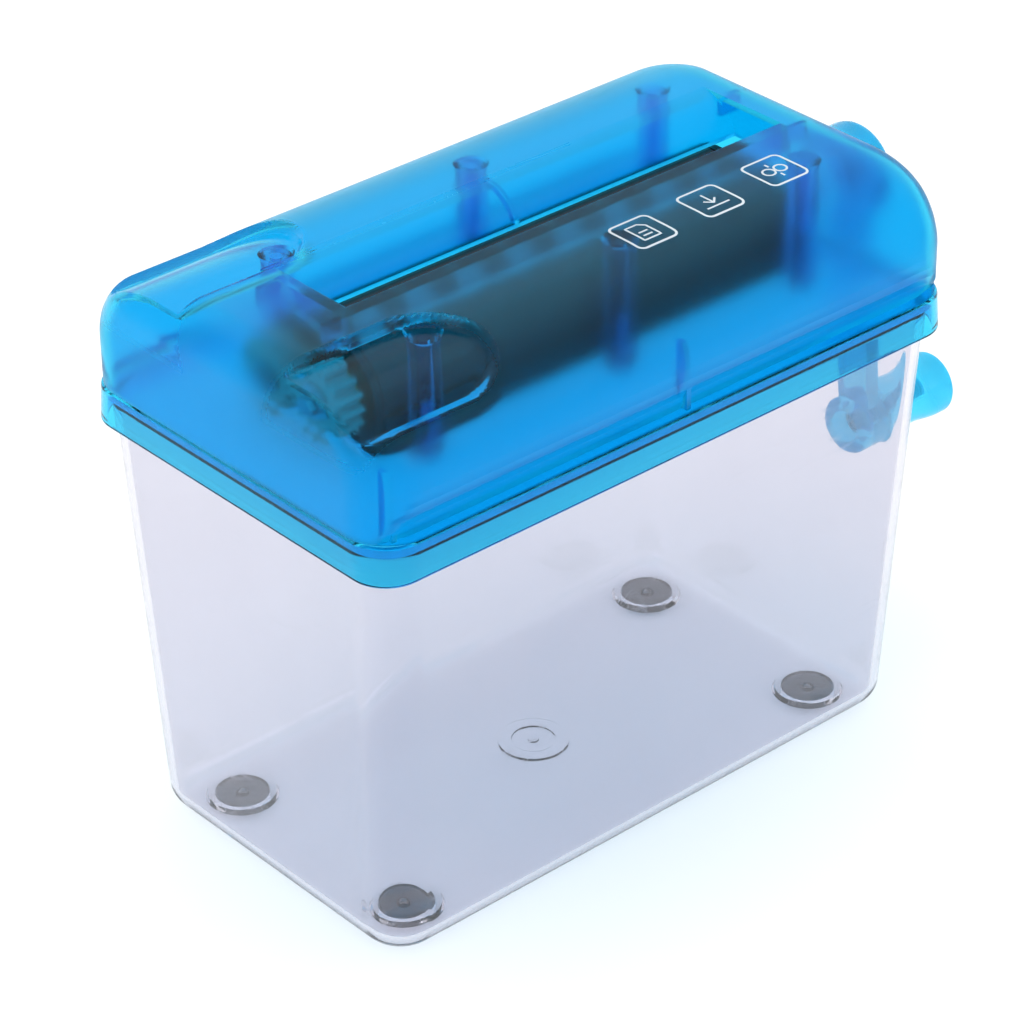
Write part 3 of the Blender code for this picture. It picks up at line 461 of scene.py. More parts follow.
# %% [markdown]
# The slot is cut last, through the roof and the funnel together. The screw
# holes stop short of the roof, and the crank's stub leaves through a round
# hole in the right end.
# %% Cut the slot and the holes
cuts = [slab("slot", funnel_outline(0.0, FUNNEL_FOOT - 2.0, HEAD_TOP + 2.0, SLOT_FRONT), *SLOT_X)]
for x in TOWERS_X:
    for y in TOWERS_Y:
        roof = HEAD_TOP - 3.5 - depth_at(np.array([[x, y, HEAD_TOP]]))
        cuts.append(turned("hole", [(WORKS_FLOOR - 1.0, 1.45), (roof, 1.45)], 24, (x, y, 0.0), "Z"))
window = [(HALF_LENGTH - 6.0, 6.6), (HALF_LENGTH + 3.0, 6.6)]
cuts.append(turned("window", window, 48, (0.0, AXLE[0], AXLE[1])))
carve(cover, cuts, "DIFFERENCE")
cover_points = np.empty(len(cover.data.vertices) * 3, np.float32)
cover.data.vertices.foreach_get("co", cover_points)
cover_points = cover_points.reshape(-1, 3) / MM - MIDDLE
polish = cover.data.attributes.new("polish", "FLOAT", "POINT")
polish.data.foreach_set("value", recess_mask(cover_points, 0.8, 1.0).astype(np.float32))
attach(cover, "head")
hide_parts("top_cover")
print("cover faces:", len(cover.data.polygons))

# %% [markdown]
# ## The band under the seam
# The lower half of the head is a band that drops over the rim of the bin,
# with a floor for the cutting works. Its edges are rounded a little, so the
# seam between band and cover reads as two fine lines, as on any moulding.
# %% The band and its floor
BAND_WALL = 1.5
FLOOR_LOW, FLOOR_HIGH = bin_high[2] + 0.4, bin_high[2] + 2.6
foot_z, seam_z = band_low[2], BAND_TOP
FOOT_CORNER, SEAM_CORNER = 9.0, 10.5


def level_rings(pairs):
    """Rings of the head's outline from (drawn in, height) pairs.

    The corners get a little sharper from the seam down to the foot.
    """
    drawn, height = np.array(pairs, float).T
    share = (height - foot_z) / (seam_z - foot_z)
    corner = FOOT_CORNER + (SEAM_CORNER - FOOT_CORNER) * share - drawn
    return stack(HALF_LENGTH - drawn, HALF_DEPTH - drawn, corner, height)


band_profile = [
    (BAND_WALL, foot_z + 0.3), (BAND_WALL - 0.3, foot_z),
    (0.35, foot_z), (0.1, foot_z + 0.12), (0.0, foot_z + 0.4),
    (0.0, seam_z - 0.6), (0.14, seam_z - 0.2), (0.5, seam_z),
    (BAND_WALL - 0.25, seam_z), (BAND_WALL, seam_z - 0.25),
]
band = mesh_object("band_moulding", level_rings(band_profile)[::-1], loop=True)
floor_profile = [
    (BAND_WALL + 0.4, FLOOR_LOW), (BAND_WALL + 0.1, FLOOR_LOW + 0.3),
    (BAND_WALL + 0.1, FLOOR_HIGH - 0.3), (BAND_WALL + 0.4, FLOOR_HIGH),
]
works_floor = mesh_object("works_floor", level_rings(floor_profile))
SHAFT_DISTANCE = 16.0
works_y = AXLE[0] + SHAFT_DISTANCE / 2.0
plate_low, plate_high = corners_of("left_plate")
far_plate_low, far_plate_high = corners_of("right_plate")
shift = MIDDLE[0]
gap_x = (plate_high[0] - shift, far_plate_low[0] - shift)
outlet = block("outlet", gap_x, (works_y - 12.6, works_y + 12.6), (FLOOR_LOW - 3.0, FLOOR_HIGH + 3.0))
rails = []
for x, outwards in ((plate_low[0] - shift, -1), (far_plate_high[0] - shift, 1)):
    sides = sorted((x + outwards * PIECE_GAP, x + outwards * (PIECE_GAP + 1.6)))
    rails.append(block("rail", sides, (works_y - 17.0, works_y + 17.0), (FLOOR_HIGH - 1.0, AXLE[1] - 9.6)))
carve(works_floor, rails, "UNION")
holes = [turned("hole", [(FLOOR_LOW - 3.0, 1.75), (FLOOR_HIGH + 1.0, 1.75)], 24, (x, y, 0.0), "Z")
         for x in TOWERS_X for y in TOWERS_Y]
carve(works_floor, [outlet] + holes, "DIFFERENCE")
for piece in (band, works_floor):
    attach(piece, "head")
    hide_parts("base_frame")
print("band faces:", len(band.data.polygons), "floor faces:", len(works_floor.data.polygons))

# %% [markdown]
# ## The clear bin
# The bin tapers so that it leaves its mould and nests in its box. Its walls
# are drawn as rings of growing size: up the outside, over the rounded rim
# and down the inside. Straight rings would do for the walls, but the lower
# edge is an arc, which is what draws the bright line round the floor.
# %% The bin's walls and floor
BIN_FOOT, BIN_RIM, BIN_WALL, BIN_EDGE = bin_low[2], bin_high[2], 2.0, 6.0
BIN_FLOOR = 2.2
FOOT_DRAWN, RIM_DRAWN = (6.6, 7.5), (1.95, 2.0)


def bin_rings(inset, height):
    """The tapered outline: each size grows evenly from foot to rim."""
    inset, height = np.broadcast_arrays(*np.atleast_1d(inset, height))
    rise = (height - BIN_FOOT) / (BIN_RIM - BIN_FOOT)
    half_x = (HALF_LENGTH - FOOT_DRAWN[0]) + (FOOT_DRAWN[0] - RIM_DRAWN[0]) * rise - inset
    half_y = (HALF_DEPTH - FOOT_DRAWN[1]) + (FOOT_DRAWN[1] - RIM_DRAWN[1]) * rise - inset
    return stack(half_x, half_y, 10.0 - np.minimum(inset, 8.5), height)


def bin_side(inset, top):
    """Edge arc then wall: drawn in edge * (1 - sin t), up edge * (1 - cos t)."""
    edge = BIN_EDGE - inset
    turn = np.linspace(0.0, np.pi / 2.0, 11)
    drawn = inset + edge * (1.0 - np.sin(turn))
    base = BIN_FOOT + (BIN_FLOOR if inset else 0.0)
    up = base + edge * (1.0 - np.cos(turn))
    heights = np.linspace(up[-1], top, 12)[1:]
    return np.concatenate([np.stack([drawn, up], 1), np.stack([np.full(11, inset), heights], 1)])


outside, inside = bin_side(0.0, BIN_RIM - 0.7), bin_side(BIN_WALL, BIN_RIM - 0.7)
turn = np.linspace(0.0, np.pi, 9)[1:-1]
rim = np.stack([1.0 - np.cos(turn), BIN_RIM - 0.7 + 0.7 * np.sin(turn)], 1)
path = np.concatenate([outside, rim, inside[::-1]])
bin_shell = mesh_object("bin_moulding", bin_rings(path[:, 0], path[:, 1]))
FEET = [sum(corners_of(f"foot_{number}")) / 2.0 - MIDDLE for number in (1, 2, 3, 4)]
foot_low, foot_high = corners_of("foot_1")
foot_radius, foot_height = (foot_high[0] - foot_low[0]) / 2.0, foot_high[2]
roof, bin_floor = foot_height + PIECE_GAP, BIN_FOOT + BIN_FLOOR
cup = [(bin_floor - 1.0, 8.9), (bin_floor + 0.25, 8.5),
       (roof + 0.3, 8.3), (roof + 0.85, 8.0), (roof + 1.1, 7.4)]
mark = [(bin_floor - 1.0, 8.6), (bin_floor + 0.35, 8.6), (bin_floor + 0.5, 8.4)]
added = [turned("cup", cup, 64, (x, y, 0.0), "Z") for x, y, _ in FEET]
carve(bin_shell, added + [turned("mark", mark, 64, (0.0, 0.0, 0.0), "Z")], "UNION")
pocket = [(0.0, foot_radius + PIECE_GAP), (roof, foot_radius + PIECE_GAP)]
dish = [(bin_floor + 0.12, 5.2), (bin_floor + 2.0, 5.6)]
sunk = [turned("pocket", pocket, 64, (x, y, 0.0), "Z") for x, y, _ in FEET]
carve(bin_shell, sunk + [turned("dish", dish, 48, (0.0, 0.0, 0.0), "Z")], "DIFFERENCE")
peg = [(BIN_FOOT, 1.0), (BIN_FOOT + 0.2, 1.2), (roof + 0.5, 1.2)]
gate = [(bin_floor - 0.5, 1.6), (bin_floor + 0.45, 1.2), (bin_floor + 0.5, 0.9)]
pegs = [turned("peg", peg, 24, (x, y, 0.0), "Z") for x, y, _ in FEET]
carve(bin_shell, pegs + [turned("gate", gate, 24, (0.0, 0.0, 0.0), "Z")], "UNION")
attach(bin_shell, "bin")
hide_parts("bin")
print("bin faces:", len(bin_shell.data.polygons))

# %% [markdown]
# ## The rubber feet
# Each foot is a punched disc of sheet rubber, pressed over a peg in its cup.
# A turned profile with rounded edges is enough, and it is closed round its
# own hole, so the peg shows through the middle.
# %% Four rubber discs
for number, centre in enumerate(FEET, 1):
    r, h = foot_radius, foot_height
    profile = [(0.0, 1.8), (0.0, r - 0.8), (0.15, r - 0.25), (0.6, r), (h - 0.5, r), (h - 0.12, r - 0.2),
               (h, r - 0.6), (h, 1.9), (h - 0.3, 1.55), (0.3, 1.55)]
    foot_disc = turned(f"rubber_foot_{number}", profile, 48, (centre[0], centre[1], 0.0), "Z", loop=True)
    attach(foot_disc, "bin")
    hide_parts(f"foot_{number}")
print("feet at", [np.round(c[:2], 1).tolist() for c in FEET])

# %% [markdown]
# ## The crank
# The crank is one moulding: a stub that reaches into the head, a thick round
# hub, an arm that leans outwards as it goes down, and an eye for the handle.
# The arm is a stack of soft-cornered sections (a superellipse), because its
# width, lean and thickness change evenly from the hub to the eye.
# %% The crank arm
REACH = corners_of("crank_arm")[1][0] - shift
FACE = REACH - 6.6
CRANK = AXLE[1] - GRIP_Z
AT_AXLE = (0.0, AXLE[0], AXLE[1])
AT_EYE = (0.0, AXLE[0], GRIP_Z)


def arm_sections(count=28, sides=40):
    """Sections down the arm.

    Each is a superellipse: across = w * sign(cos) * |cos t| ** 0.45 and
    through = h * sign(sin) * |sin t| ** 0.45, moved out by the arm's lean.
    """
    share = np.linspace(0.0, 1.0, count)[:, None]
    t = np.linspace(0.0, 2.0 * np.pi, sides, endpoint=False)[None, :]
    soft = lambda wave: np.sign(wave) * np.abs(wave) ** 0.45
    width = 5.5 - 0.5 * share - 0.25 * share ** 2
    lean = (FACE - 3.8) + (REACH - 3.2 - FACE + 3.8) * (0.25 * share + 0.75 * share ** 1.1)
    x = lean + 3.2 * soft(np.sin(t))
    y = AXLE[0] + width * soft(np.cos(t))
    z = AXLE[1] - 3.0 - (CRANK - 3.0) * share
    return np.stack(np.broadcast_arrays(x, y, z), axis=-1)


hub = [(FACE - 9.8, 10.4), (FACE - 9.5, 11.0), (FACE - 8.9, 11.4), (FACE - 8.2, 11.5), (FACE - 2.2, 11.5),
       (FACE - 1.3, 11.35), (FACE - 0.6, 10.9), (FACE - 0.15, 10.1), (FACE, 9.2)]
crank = turned("crank_moulding", hub, 72, AT_AXLE)
stub = turned("stub", [(HALF_LENGTH - 13.5, 5.5), (HALF_LENGTH - 13.1, 5.8), (FACE - 8.0, 5.8)], 48, AT_AXLE)
eye = [(REACH - 8.6, 6.4), (REACH - 8.3, 6.9), (REACH - 7.7, 7.25),
       (REACH - 0.5, 7.25), (REACH - 0.1, 7.05), (REACH, 6.7)]
arm = mesh_object("arm", arm_sections())
carve(crank, [stub, arm, turned("eye", eye, 64, AT_EYE)], "UNION")
socket = [(HALF_LENGTH - 14.5, 2.5), (FACE - 13.5, 2.5)]
bores = [turned("socket", socket, 6, AT_AXLE)]
bores.append(turned("bore", [(FACE - 14.8, 1.5), (FACE + 1.0, 1.5)], 32, AT_AXLE))
bores.append(turned("seat", [(FACE - 3.2, 4.0), (FACE - 0.6, 4.0), (FACE + 0.4, 5.2)], 48, AT_AXLE))
bores.append(turned("hollow", [(REACH - 9.6, 4.0), (REACH - 3.4, 4.0)], 48, AT_EYE))
bores.append(turned("pin_way", [(REACH - 9.6, 2.25), (REACH + 1.0, 2.25)], 32, AT_EYE))
carve(crank, bores, "DIFFERENCE")
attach(crank, "drive")
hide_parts("crank_arm")
print("crank faces:", len(crank.data.polygons))

# %% [markdown]
# ## The handle
# The handle is turned, slightly waisted so that fingers stay on it, and it
# is bored for the pin it spins on. The waist is a smooth cosine dip, because
# straight cones would leave hard rings across the plastic.
# %% The spinning grip
grip_start, grip_end = grip_low[0] - shift, grip_high[0] - shift


def grip_profile(count=46):
    """Radius = 8 - 0.9 * sin(pi * share) ** 2 between two rounded ends."""
    share = np.linspace(0.0, 1.0, count)
    at = grip_start + 0.9 + (grip_end - 1.9 - grip_start) * share
    radius = 7.92 - 0.85 * np.sin(np.pi * np.clip(share * 1.12, 0.0, 1.0)) ** 2
    near = [(grip_end - 6.0, 2.17), (grip_start, 2.17), (grip_start, 7.0), (grip_start + 0.25, 7.55)]
    turn = np.linspace(0.15, 1.0, 8) * np.pi / 2.0
    far = np.stack([grip_end - 1.0 + np.sin(turn), 4.6 + 3.3 * np.cos(turn) ** 0.6], axis=-1)
    return np.concatenate([near, np.stack([at, radius], axis=-1), far, [(grip_end, 2.0)]])


grip = turned("grip_moulding", grip_profile(), 64, AT_EYE)
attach(grip, "handle")
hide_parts("knob_grip")
print("grip from", round(grip_start, 1), "to", round(grip_end, 1))

# %% [markdown]
# ## Three printed marks
# Three small rounded squares are printed on the front shoulder. They are
# plain signs: a sheet, an arrow into the slot and a pair of rollers. Each
# line is a very thin raised ribbon that follows the shoulder's formula, so it
# lies on the curve like ink.
# %% Ribbons that lie on the shoulder
def shoulder_height(y):
    """Flat in the middle, then start + rise * sqrt(1 - (across / width) ** 2)."""
    across = np.clip((np.abs(y) - FLAT_HALF) / SHOULDER_WIDTH, 0.0, 1.0)
    return SHOULDER_START + SHOULDER_RISE * np.sqrt(1.0 - across * across)


def ribbon(name, path, width=0.62, ink=0.07, closed=True):
    """A line of ink: four corners round each point of a path on the roof."""
    path = np.asarray(path, float)
    ahead = np.roll(path, -1, axis=0) - np.roll(path, 1, axis=0)
    if not closed:
        ahead[0], ahead[-1] = path[1] - path[0], path[-1] - path[-2]
    ahead = ahead / np.linalg.norm(ahead, axis=1, keepdims=True)
    side = np.stack([-ahead[:, 1], ahead[:, 0]], axis=-1) * width / 2.0
    left, right = path + side, path - side
    rings = []
    for flat, lift in ((left, 0.02), (left, ink), (right, ink), (right, 0.02)):
        rings.append(np.stack([flat[:, 0], flat[:, 1], shoulder_height(flat[:, 1]) + lift], axis=-1))
    return mesh_object(name, np.stack(rings, axis=1), loop=closed)


def dense(corners, closed=True, step=0.45):
    """Points every half millimetre or so along straight runs."""
    corners = np.asarray(corners, float)
    ends = np.roll(corners, -1, axis=0) if closed else corners[1:]
    runs = []
    for a, b in zip(corners, ends):
        count = max(int(np.linalg.norm(b - a) / step), 1)
        runs.append(a + (b - a) * np.linspace(0.0, 1.0, count, endpoint=False)[:, None])
    if not closed:
        runs.append(corners[-1:])
    return np.concatenate(runs)


def rounded_square(half, corner):
    """A square with round corners, in its own plane."""
    turn = np.linspace(0.0, np.pi / 2.0, 7)
    arcs = []
    for quarter, (sx, sy) in enumerate(((1, 1), (-1, 1), (-1, -1), (1, -1))):
        angle = turn + quarter * np.pi / 2.0
        arcs.append(np.stack([sx * (half - corner) + corner * np.cos(angle),
                              sy * (half - corner) + corner * np.sin(angle)], axis=-1))
    return dense(np.concatenate(arcs))


def circle(x, y, radius):
    """Points round a small circle."""
    angle = np.linspace(0.0, 2.0 * np.pi, 28, endpoint=False)
    return np.stack([x + radius * np.cos(angle), y + radius * np.sin(angle)], axis=-1)


print("height on the shoulder at 30 mm:", round(float(shoulder_height(np.array([30.0]))[0]), 2))

# %% [markdown]
# The three signs share one frame. Their strokes are joined into one thin
# piece for each sign, which rides on the head.
# %% Draw the three signs
SIGNS = {
    "sheet": [([(-2.4, -3.2), (2.4, -3.2), (2.4, 1.8), (1.0, 3.2), (-2.4, 3.2)], True),
              ([(-1.3, -1.6), (1.3, -1.6)], False), ([(-1.3, 0.0), (1.3, 0.0)], False)],
    "feed": [([(-3.3, -2.6), (3.3, -2.6)], False), ([(0.0, 3.2), (0.0, -1.2)], False),
             ([(-1.7, 0.5), (0.0, -1.2), (1.7, 0.5)], False)],
    "rollers": [(circle(-1.75, 0.0, 1.5), True), (circle(1.75, 0.0, 1.5), True),
                ([(0.0, 3.3), (0.0, 1.9)], False), ([(0.0, -1.9), (0.0, -3.3)], False)],
}
sign_places = [(12.2, -24.6), (33.0, -24.0), (53.7, -23.1)]
sign_pieces = []
for (sign, strokes), place in zip(SIGNS.items(), sign_places):
    made = [ribbon("frame_line", rounded_square(5.6, 1.6) + place, 0.6)]
    for number, (path, closed) in enumerate(strokes):
        made.append(ribbon("stroke", dense(path, closed) + place, 0.5, 0.06 - 0.005 * number, closed))
    whole = carve(made[0], made[1:], "UNION")
    whole.name = f"printed_{sign}"
    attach(whole, "head")
    sign_pieces.append(whole)
print("signs:", [piece.name for piece in sign_pieces])

# %% [markdown]
# ## Finishes: shared effects first
# Real plastic and steel are never one flat value. A few effects turn up on
# several parts: the fine spark texture that a mould leaves, the slow streaks
# of flowing plastic, hairline scratches and the rings of a lathe. Each is a
# node group with named inputs, made once and used in several finishes. They
# all read Object coordinates, so they stay where they are on the part.
# %% A helper for node groups
def new_group(name, inputs, outputs):
    """A shader group with float inputs and outputs, and its two ends."""
    tree = bpy.data.node_groups.new(name, "ShaderNodeTree")
    for label, value in inputs.items():
        socket = tree.interface.new_socket(label, in_out="INPUT", socket_type="NodeSocketFloat")
        socket.default_value = value
    for label in outputs:
        tree.interface.new_socket(label, in_out="OUTPUT", socket_type="NodeSocketFloat")
    return tree, tree.nodes.new("NodeGroupInput"), tree.nodes.new("NodeGroupOutput")


def node(tree, kind, inputs=None, **settings):
    """A node with its settings and its input values or links."""
    made = tree.nodes.new(kind)
    for label, value in settings.items():
        setattr(made, label, value)
    for label, value in (inputs or {}).items():
        if isinstance(value, bpy.types.NodeSocket):
            tree.links.new(value, made.inputs[label])
        else:
            made.inputs[label].default_value = value
    return made


def object_place(tree):
    """The point on the part, in metres, as a socket."""
    return node(tree, "ShaderNodeTexCoord").outputs["Object"]


def ramp(tree, value, low, high, to_low=0.0, to_high=1.0):
    """Map a value smoothly from one range to another."""
    made = node(tree, "ShaderNodeMapRange", {"Value": value, "From Min": low, "From Max": high,
                "To Min": to_low, "To Max": to_high}, interpolation_type="SMOOTHSTEP")
    return made.outputs["Result"]


print("group helpers ready")

# %% [markdown]
# The spark texture is two sizes of noise added together, because a spark
# makes small craters inside larger ones. The flow marks are noise drawn out
# along the part, as plastic freezes in streaks on its way from the gate.
# %% Mould texture, flow marks, scratches and turning rings
def make_spark_texture():
    """Height = 0.6 * coarse noise + 0.4 * fine noise."""
    tree, start, end = new_group("spark_texture", {"Size": 1400.0}, ["Height"])
    place = object_place(tree)
    coarse = node(tree, "ShaderNodeTexNoise", {"Vector": place, "Scale": start.outputs["Size"],
                  "Detail": 3.0})
    double = node(tree, "ShaderNodeMath", {0: start.outputs["Size"], 1: 2.7}, operation="MULTIPLY")
    fine = node(tree, "ShaderNodeTexNoise", {"Vector": place, "Scale": double.outputs[0], "Detail": 2.0})
    both = node(tree, "ShaderNodeMix", {"Factor": 0.4, "A": coarse.outputs[0], "B": fine.outputs[0]})
    tree.links.new(both.outputs["Result"], end.inputs["Height"])
    return tree


def make_flow_marks():
    """Streak = noise on a place squeezed along the part's length."""
    tree, start, end = new_group("flow_marks", {"Size": 40.0}, ["Streak"])
    squeezed = node(tree, "ShaderNodeMapping", {"Vector": object_place(tree), "Scale": (0.3, 1.0, 0.8)})
    noise = node(tree, "ShaderNodeTexNoise", {"Vector": squeezed.outputs[0], "Scale": start.outputs["Size"],
                 "Detail": 4.0, "Roughness": 0.45})
    tree.links.new(ramp(tree, noise.outputs[0], 0.3, 0.7), end.inputs["Streak"])
    return tree


def make_scratches():
    """Mask = thin ridges of two long noises that cross each other."""
    tree, start, end = new_group("hair_scratches", {"Size": 90.0}, ["Mask"])
    masks = []
    for turn, stretch in ((0.35, (1.0, 0.05, 1.0)), (-0.5, (0.06, 1.0, 0.9))):
        laid = node(tree, "ShaderNodeMapping", {"Vector": object_place(tree), "Rotation": (turn, 0.2, turn),
                    "Scale": stretch})
        noise = node(tree, "ShaderNodeTexNoise", {"Vector": laid.outputs[0], "Scale": start.outputs["Size"],
                     "Detail": 5.0})
        off = node(tree, "ShaderNodeMath", {0: noise.outputs[0], 1: 0.5}, operation="SUBTRACT")
        near = node(tree, "ShaderNodeMath", {0: off.outputs[0]}, operation="ABSOLUTE")
        masks.append(ramp(tree, near.outputs[0], 0.0, 0.006, 1.0, 0.0))
    both = node(tree, "ShaderNodeMath", {0: masks[0], 1: masks[1]}, operation="MAXIMUM")
    tree.links.new(both.outputs[0], end.inputs["Mask"])
    return tree


def make_turning_rings():
    """Ring = noise read at (distance from the axis, along), so it makes rings."""
    tree, start, end = new_group("turning_rings", {"Axis Y": 0.0, "Axis Z": 0.0, "Size": 900.0}, ["Ring"])
    parts = node(tree, "ShaderNodeSeparateXYZ", {0: object_place(tree)})
    out_y, out_z = (node(tree, "ShaderNodeMath", {0: parts.outputs[axis], 1: start.outputs[f"Axis {axis}"]},
                         operation="SUBTRACT") for axis in "YZ")
    flat = node(tree, "ShaderNodeCombineXYZ", {0: 0.0, 1: out_y.outputs[0], 2: out_z.outputs[0]})
    radius = node(tree, "ShaderNodeVectorMath", {0: flat.outputs[0]}, operation="LENGTH")
    read_at = node(tree, "ShaderNodeCombineXYZ", {0: radius.outputs["Value"], 1: parts.outputs["X"], 2: 0.0})
    noise = node(tree, "ShaderNodeTexNoise", {"Vector": read_at.outputs[0], "Scale": start.outputs["Size"],
                 "Detail": 3.0})
    tree.links.new(noise.outputs[0], end.inputs["Ring"])
    return tree


effects = {"spark": make_spark_texture(), "flow": make_flow_marks(),
           "scratch": make_scratches(), "rings": make_turning_rings()}
print("effects:", [tree.name for tree in effects.values()])

# %% [markdown]
# ## See-through plastic
# Both plastics are glass-like shaders on pieces with real walls. The colour
# of one wall is the share of red, green and blue light that crosses it. The
# cover is frosted, and a point attribute polishes its recesses. Light from
# lamps, and light that has bounced off a matt surface, goes straight through
# instead of being bent, which keeps the inside of the head and the bin as
# bright as it is in life.
# %% Blue and clear plastic
def use(tree, effect, **inputs):
    """Put a shared effect into a material."""
    made = tree.nodes.new("ShaderNodeGroup")
    made.node_tree = effects[effect]
    for label, value in inputs.items():
        made.inputs[label.replace("_", " ")].default_value = value
    return made


def blend(tree, share, low, high):
    """A colour that goes from low to high with a share."""
    made = node(tree, "ShaderNodeMix", {"Factor": share}, data_type="RGBA")
    made.inputs["A"].default_value = (*low, 1.0)
    made.inputs["B"].default_value = (*high, 1.0)
    return made.outputs["Result"]


def start_material(name):
    """A material with its main shader and its tree."""
    made = bpy.data.materials.new(name)
    made.use_nodes = True
    return made, made.node_tree, made.node_tree.nodes["Principled BSDF"]


def let_light_through(tree, shader, colour):
    """Lamp rays and matt bounces cross the wall without bending."""
    path = node(tree, "ShaderNodeLightPath")
    either = node(tree, "ShaderNodeMath", {0: path.outputs["Is Shadow Ray"],
                  1: path.outputs["Is Diffuse Ray"]}, operation="MAXIMUM")
    clear = node(tree, "ShaderNodeBsdfTransparent", {"Color": (*colour, 1.0)})
    mix = node(tree, "ShaderNodeMixShader", {0: either.outputs[0], 1: shader.outputs[0], 2: clear.outputs[0]})
    out = tree.nodes["Material Output"]
    tree.links.new(mix.outputs[0], out.inputs["Surface"])


def plastic_glass(name, wall, streak, rough, frost=None, bump=0.02, size=1400.0, milk=0.0, ior=1.46):
    """See-through plastic; frost is the roughness where nothing polishes it."""
    made, tree, shader = start_material(name)
    flow = use(tree, "flow", Size=38.0)
    tree.links.new(blend(tree, flow.outputs[0], wall, streak), shader.inputs["Base Color"])
    scratch = use(tree, "scratch", Size=70.0)
    if frost is None:
        level = ramp(tree, scratch.outputs[0], 0.0, 1.0, rough, rough + 0.12)
    else:
        held = node(tree, "ShaderNodeAttribute", attribute_name="polish")
        base = ramp(tree, held.outputs["Fac"], 0.0, 1.0, frost, rough)
        worn = node(tree, "ShaderNodeMath", {0: scratch.outputs[0], 1: 0.05}, operation="MULTIPLY")
        level = node(tree, "ShaderNodeMath", {0: base, 1: worn.outputs[0]}, operation="ADD").outputs[0]
    tree.links.new(level, shader.inputs["Roughness"])
    spark = use(tree, "spark", Size=size)
    lift = node(tree, "ShaderNodeBump", {"Strength": 1.0, "Distance": bump * MM, "Height": spark.outputs[0]})
    tree.links.new(lift.outputs[0], shader.inputs["Normal"])
    shader.inputs["Transmission Weight"].default_value = 1.0 - milk
    shader.inputs["IOR"].default_value = ior
    let_light_through(tree, shader, tuple(0.5 + 0.5 * channel ** 0.5 for channel in wall))
    return made


BLUE_WALL, BLUE_STREAK = (0.025, 0.60, 0.89), (0.035, 0.62, 0.90)
CLEAR_WALL, CLEAR_STREAK = (0.786, 0.780, 0.842), (0.80, 0.795, 0.855)
frosted_blue = plastic_glass("frosted_blue_plastic", BLUE_WALL, BLUE_STREAK, 0.17,
                             frost=0.31, bump=0.004, ior=1.18)
glossy_blue = plastic_glass("glossy_blue_plastic", BLUE_WALL, BLUE_STREAK, 0.06, bump=0.003, ior=1.25)
thick_blue = plastic_glass("thick_blue_plastic", (0.06, 0.64, 0.92), (0.08, 0.66, 0.93), 0.12,
                           bump=0.003, milk=0.25, ior=1.2)
clear = plastic_glass("clear_bin_plastic", CLEAR_WALL, CLEAR_STREAK, 0.02, bump=0.002, size=300.0)
cover.data.materials.append(frosted_blue)
band.data.materials.append(glossy_blue)
for piece in (works_floor, crank, grip):
    piece.data.materials.append(thick_blue)
bin_shell.data.materials.append(clear)
print("plastics:", frosted_blue.name, glossy_blue.name, thick_blue.name, clear.name)

# %% [markdown]
# ## Rubber, ink, black and grey plastic, steel and bronze
# The other finishes are not see-through. Rubber is matt with fine pores,
# the guards are satin black, the gears are smoke-grey nylon, and the steel
# parts show the rings of the lathe that made them.
# %% Solid finishes
def solid(name, low, high, rough, metallic=0.0, effect="flow", bump=0.02, size=60.0, axis=None):
    """A finish whose colour, roughness and bump all follow one effect."""
    made, tree, shader = start_material(name)
    inputs = {"Size": size}
    if axis is not None:
        inputs.update({"Axis_Y": axis[0] * MM, "Axis_Z": axis[1] * MM})
    main = use(tree, effect, **inputs)
    tree.links.new(blend(tree, main.outputs[0], low, high), shader.inputs["Base Color"])
    scratch = use(tree, "scratch", Size=110.0)
    base = ramp(tree, main.outputs[0], 0.0, 1.0, rough[0], rough[1])
    worn = node(tree, "ShaderNodeMath", {0: scratch.outputs[0], 1: 0.08}, operation="MULTIPLY")
    level = node(tree, "ShaderNodeMath", {0: base, 1: worn.outputs[0]}, operation="ADD")
    tree.links.new(level.outputs[0], shader.inputs["Roughness"])
    spark = use(tree, "spark", Size=1800.0)
    both = node(tree, "ShaderNodeMath", {0: spark.outputs[0], 1: main.outputs[0]}, operation="ADD")
    lift = node(tree, "ShaderNodeBump", {"Strength": 1.0, "Distance": bump * MM, "Height": both.outputs[0]})
    tree.links.new(lift.outputs[0], shader.inputs["Normal"])
    shader.inputs["Metallic"].default_value = metallic
    return made


rubber = solid("pressed_grey_rubber", (0.075, 0.080, 0.088), (0.11, 0.115, 0.125), (0.62, 0.8), bump=0.03)
ink = solid("pale_print_ink", (0.46, 0.52, 0.57), (0.56, 0.62, 0.66), (0.45, 0.6), bump=0.004)
guard_black = solid("satin_black_guard", (0.008, 0.009, 0.012), (0.016, 0.018, 0.022),
                    (0.38, 0.5), bump=0.015)
nylon = solid("bare_nylon_gear", (0.22, 0.23, 0.24), (0.30, 0.31, 0.32), (0.4, 0.52), bump=0.01)
black_steel = solid("blacked_plate_steel", (0.012, 0.013, 0.016), (0.03, 0.032, 0.036),
                    (0.3, 0.45), 0.6, bump=0.006)
plate_steel = solid("rolled_plate_steel", (0.42, 0.43, 0.45), (0.58, 0.59, 0.61),
                    (0.26, 0.42), 1.0, bump=0.006)
bronze = solid("oiled_bronze_bush", (0.36, 0.22, 0.09), (0.52, 0.35, 0.16), (0.34, 0.5), 1.0, bump=0.01)
TURNED_LOW, TURNED_HIGH = (0.40, 0.41, 0.43), (0.60, 0.61, 0.63)
front_steel, rear_steel = (
    solid(f"turned_steel_{place}", TURNED_LOW, TURNED_HIGH, (0.22, 0.4), 1.0, "rings", 0.006, 1100.0,
          (AXLE[0] + offset, AXLE[1])) for place, offset in (("front", 0.0), ("rear", SHAFT_DISTANCE)))
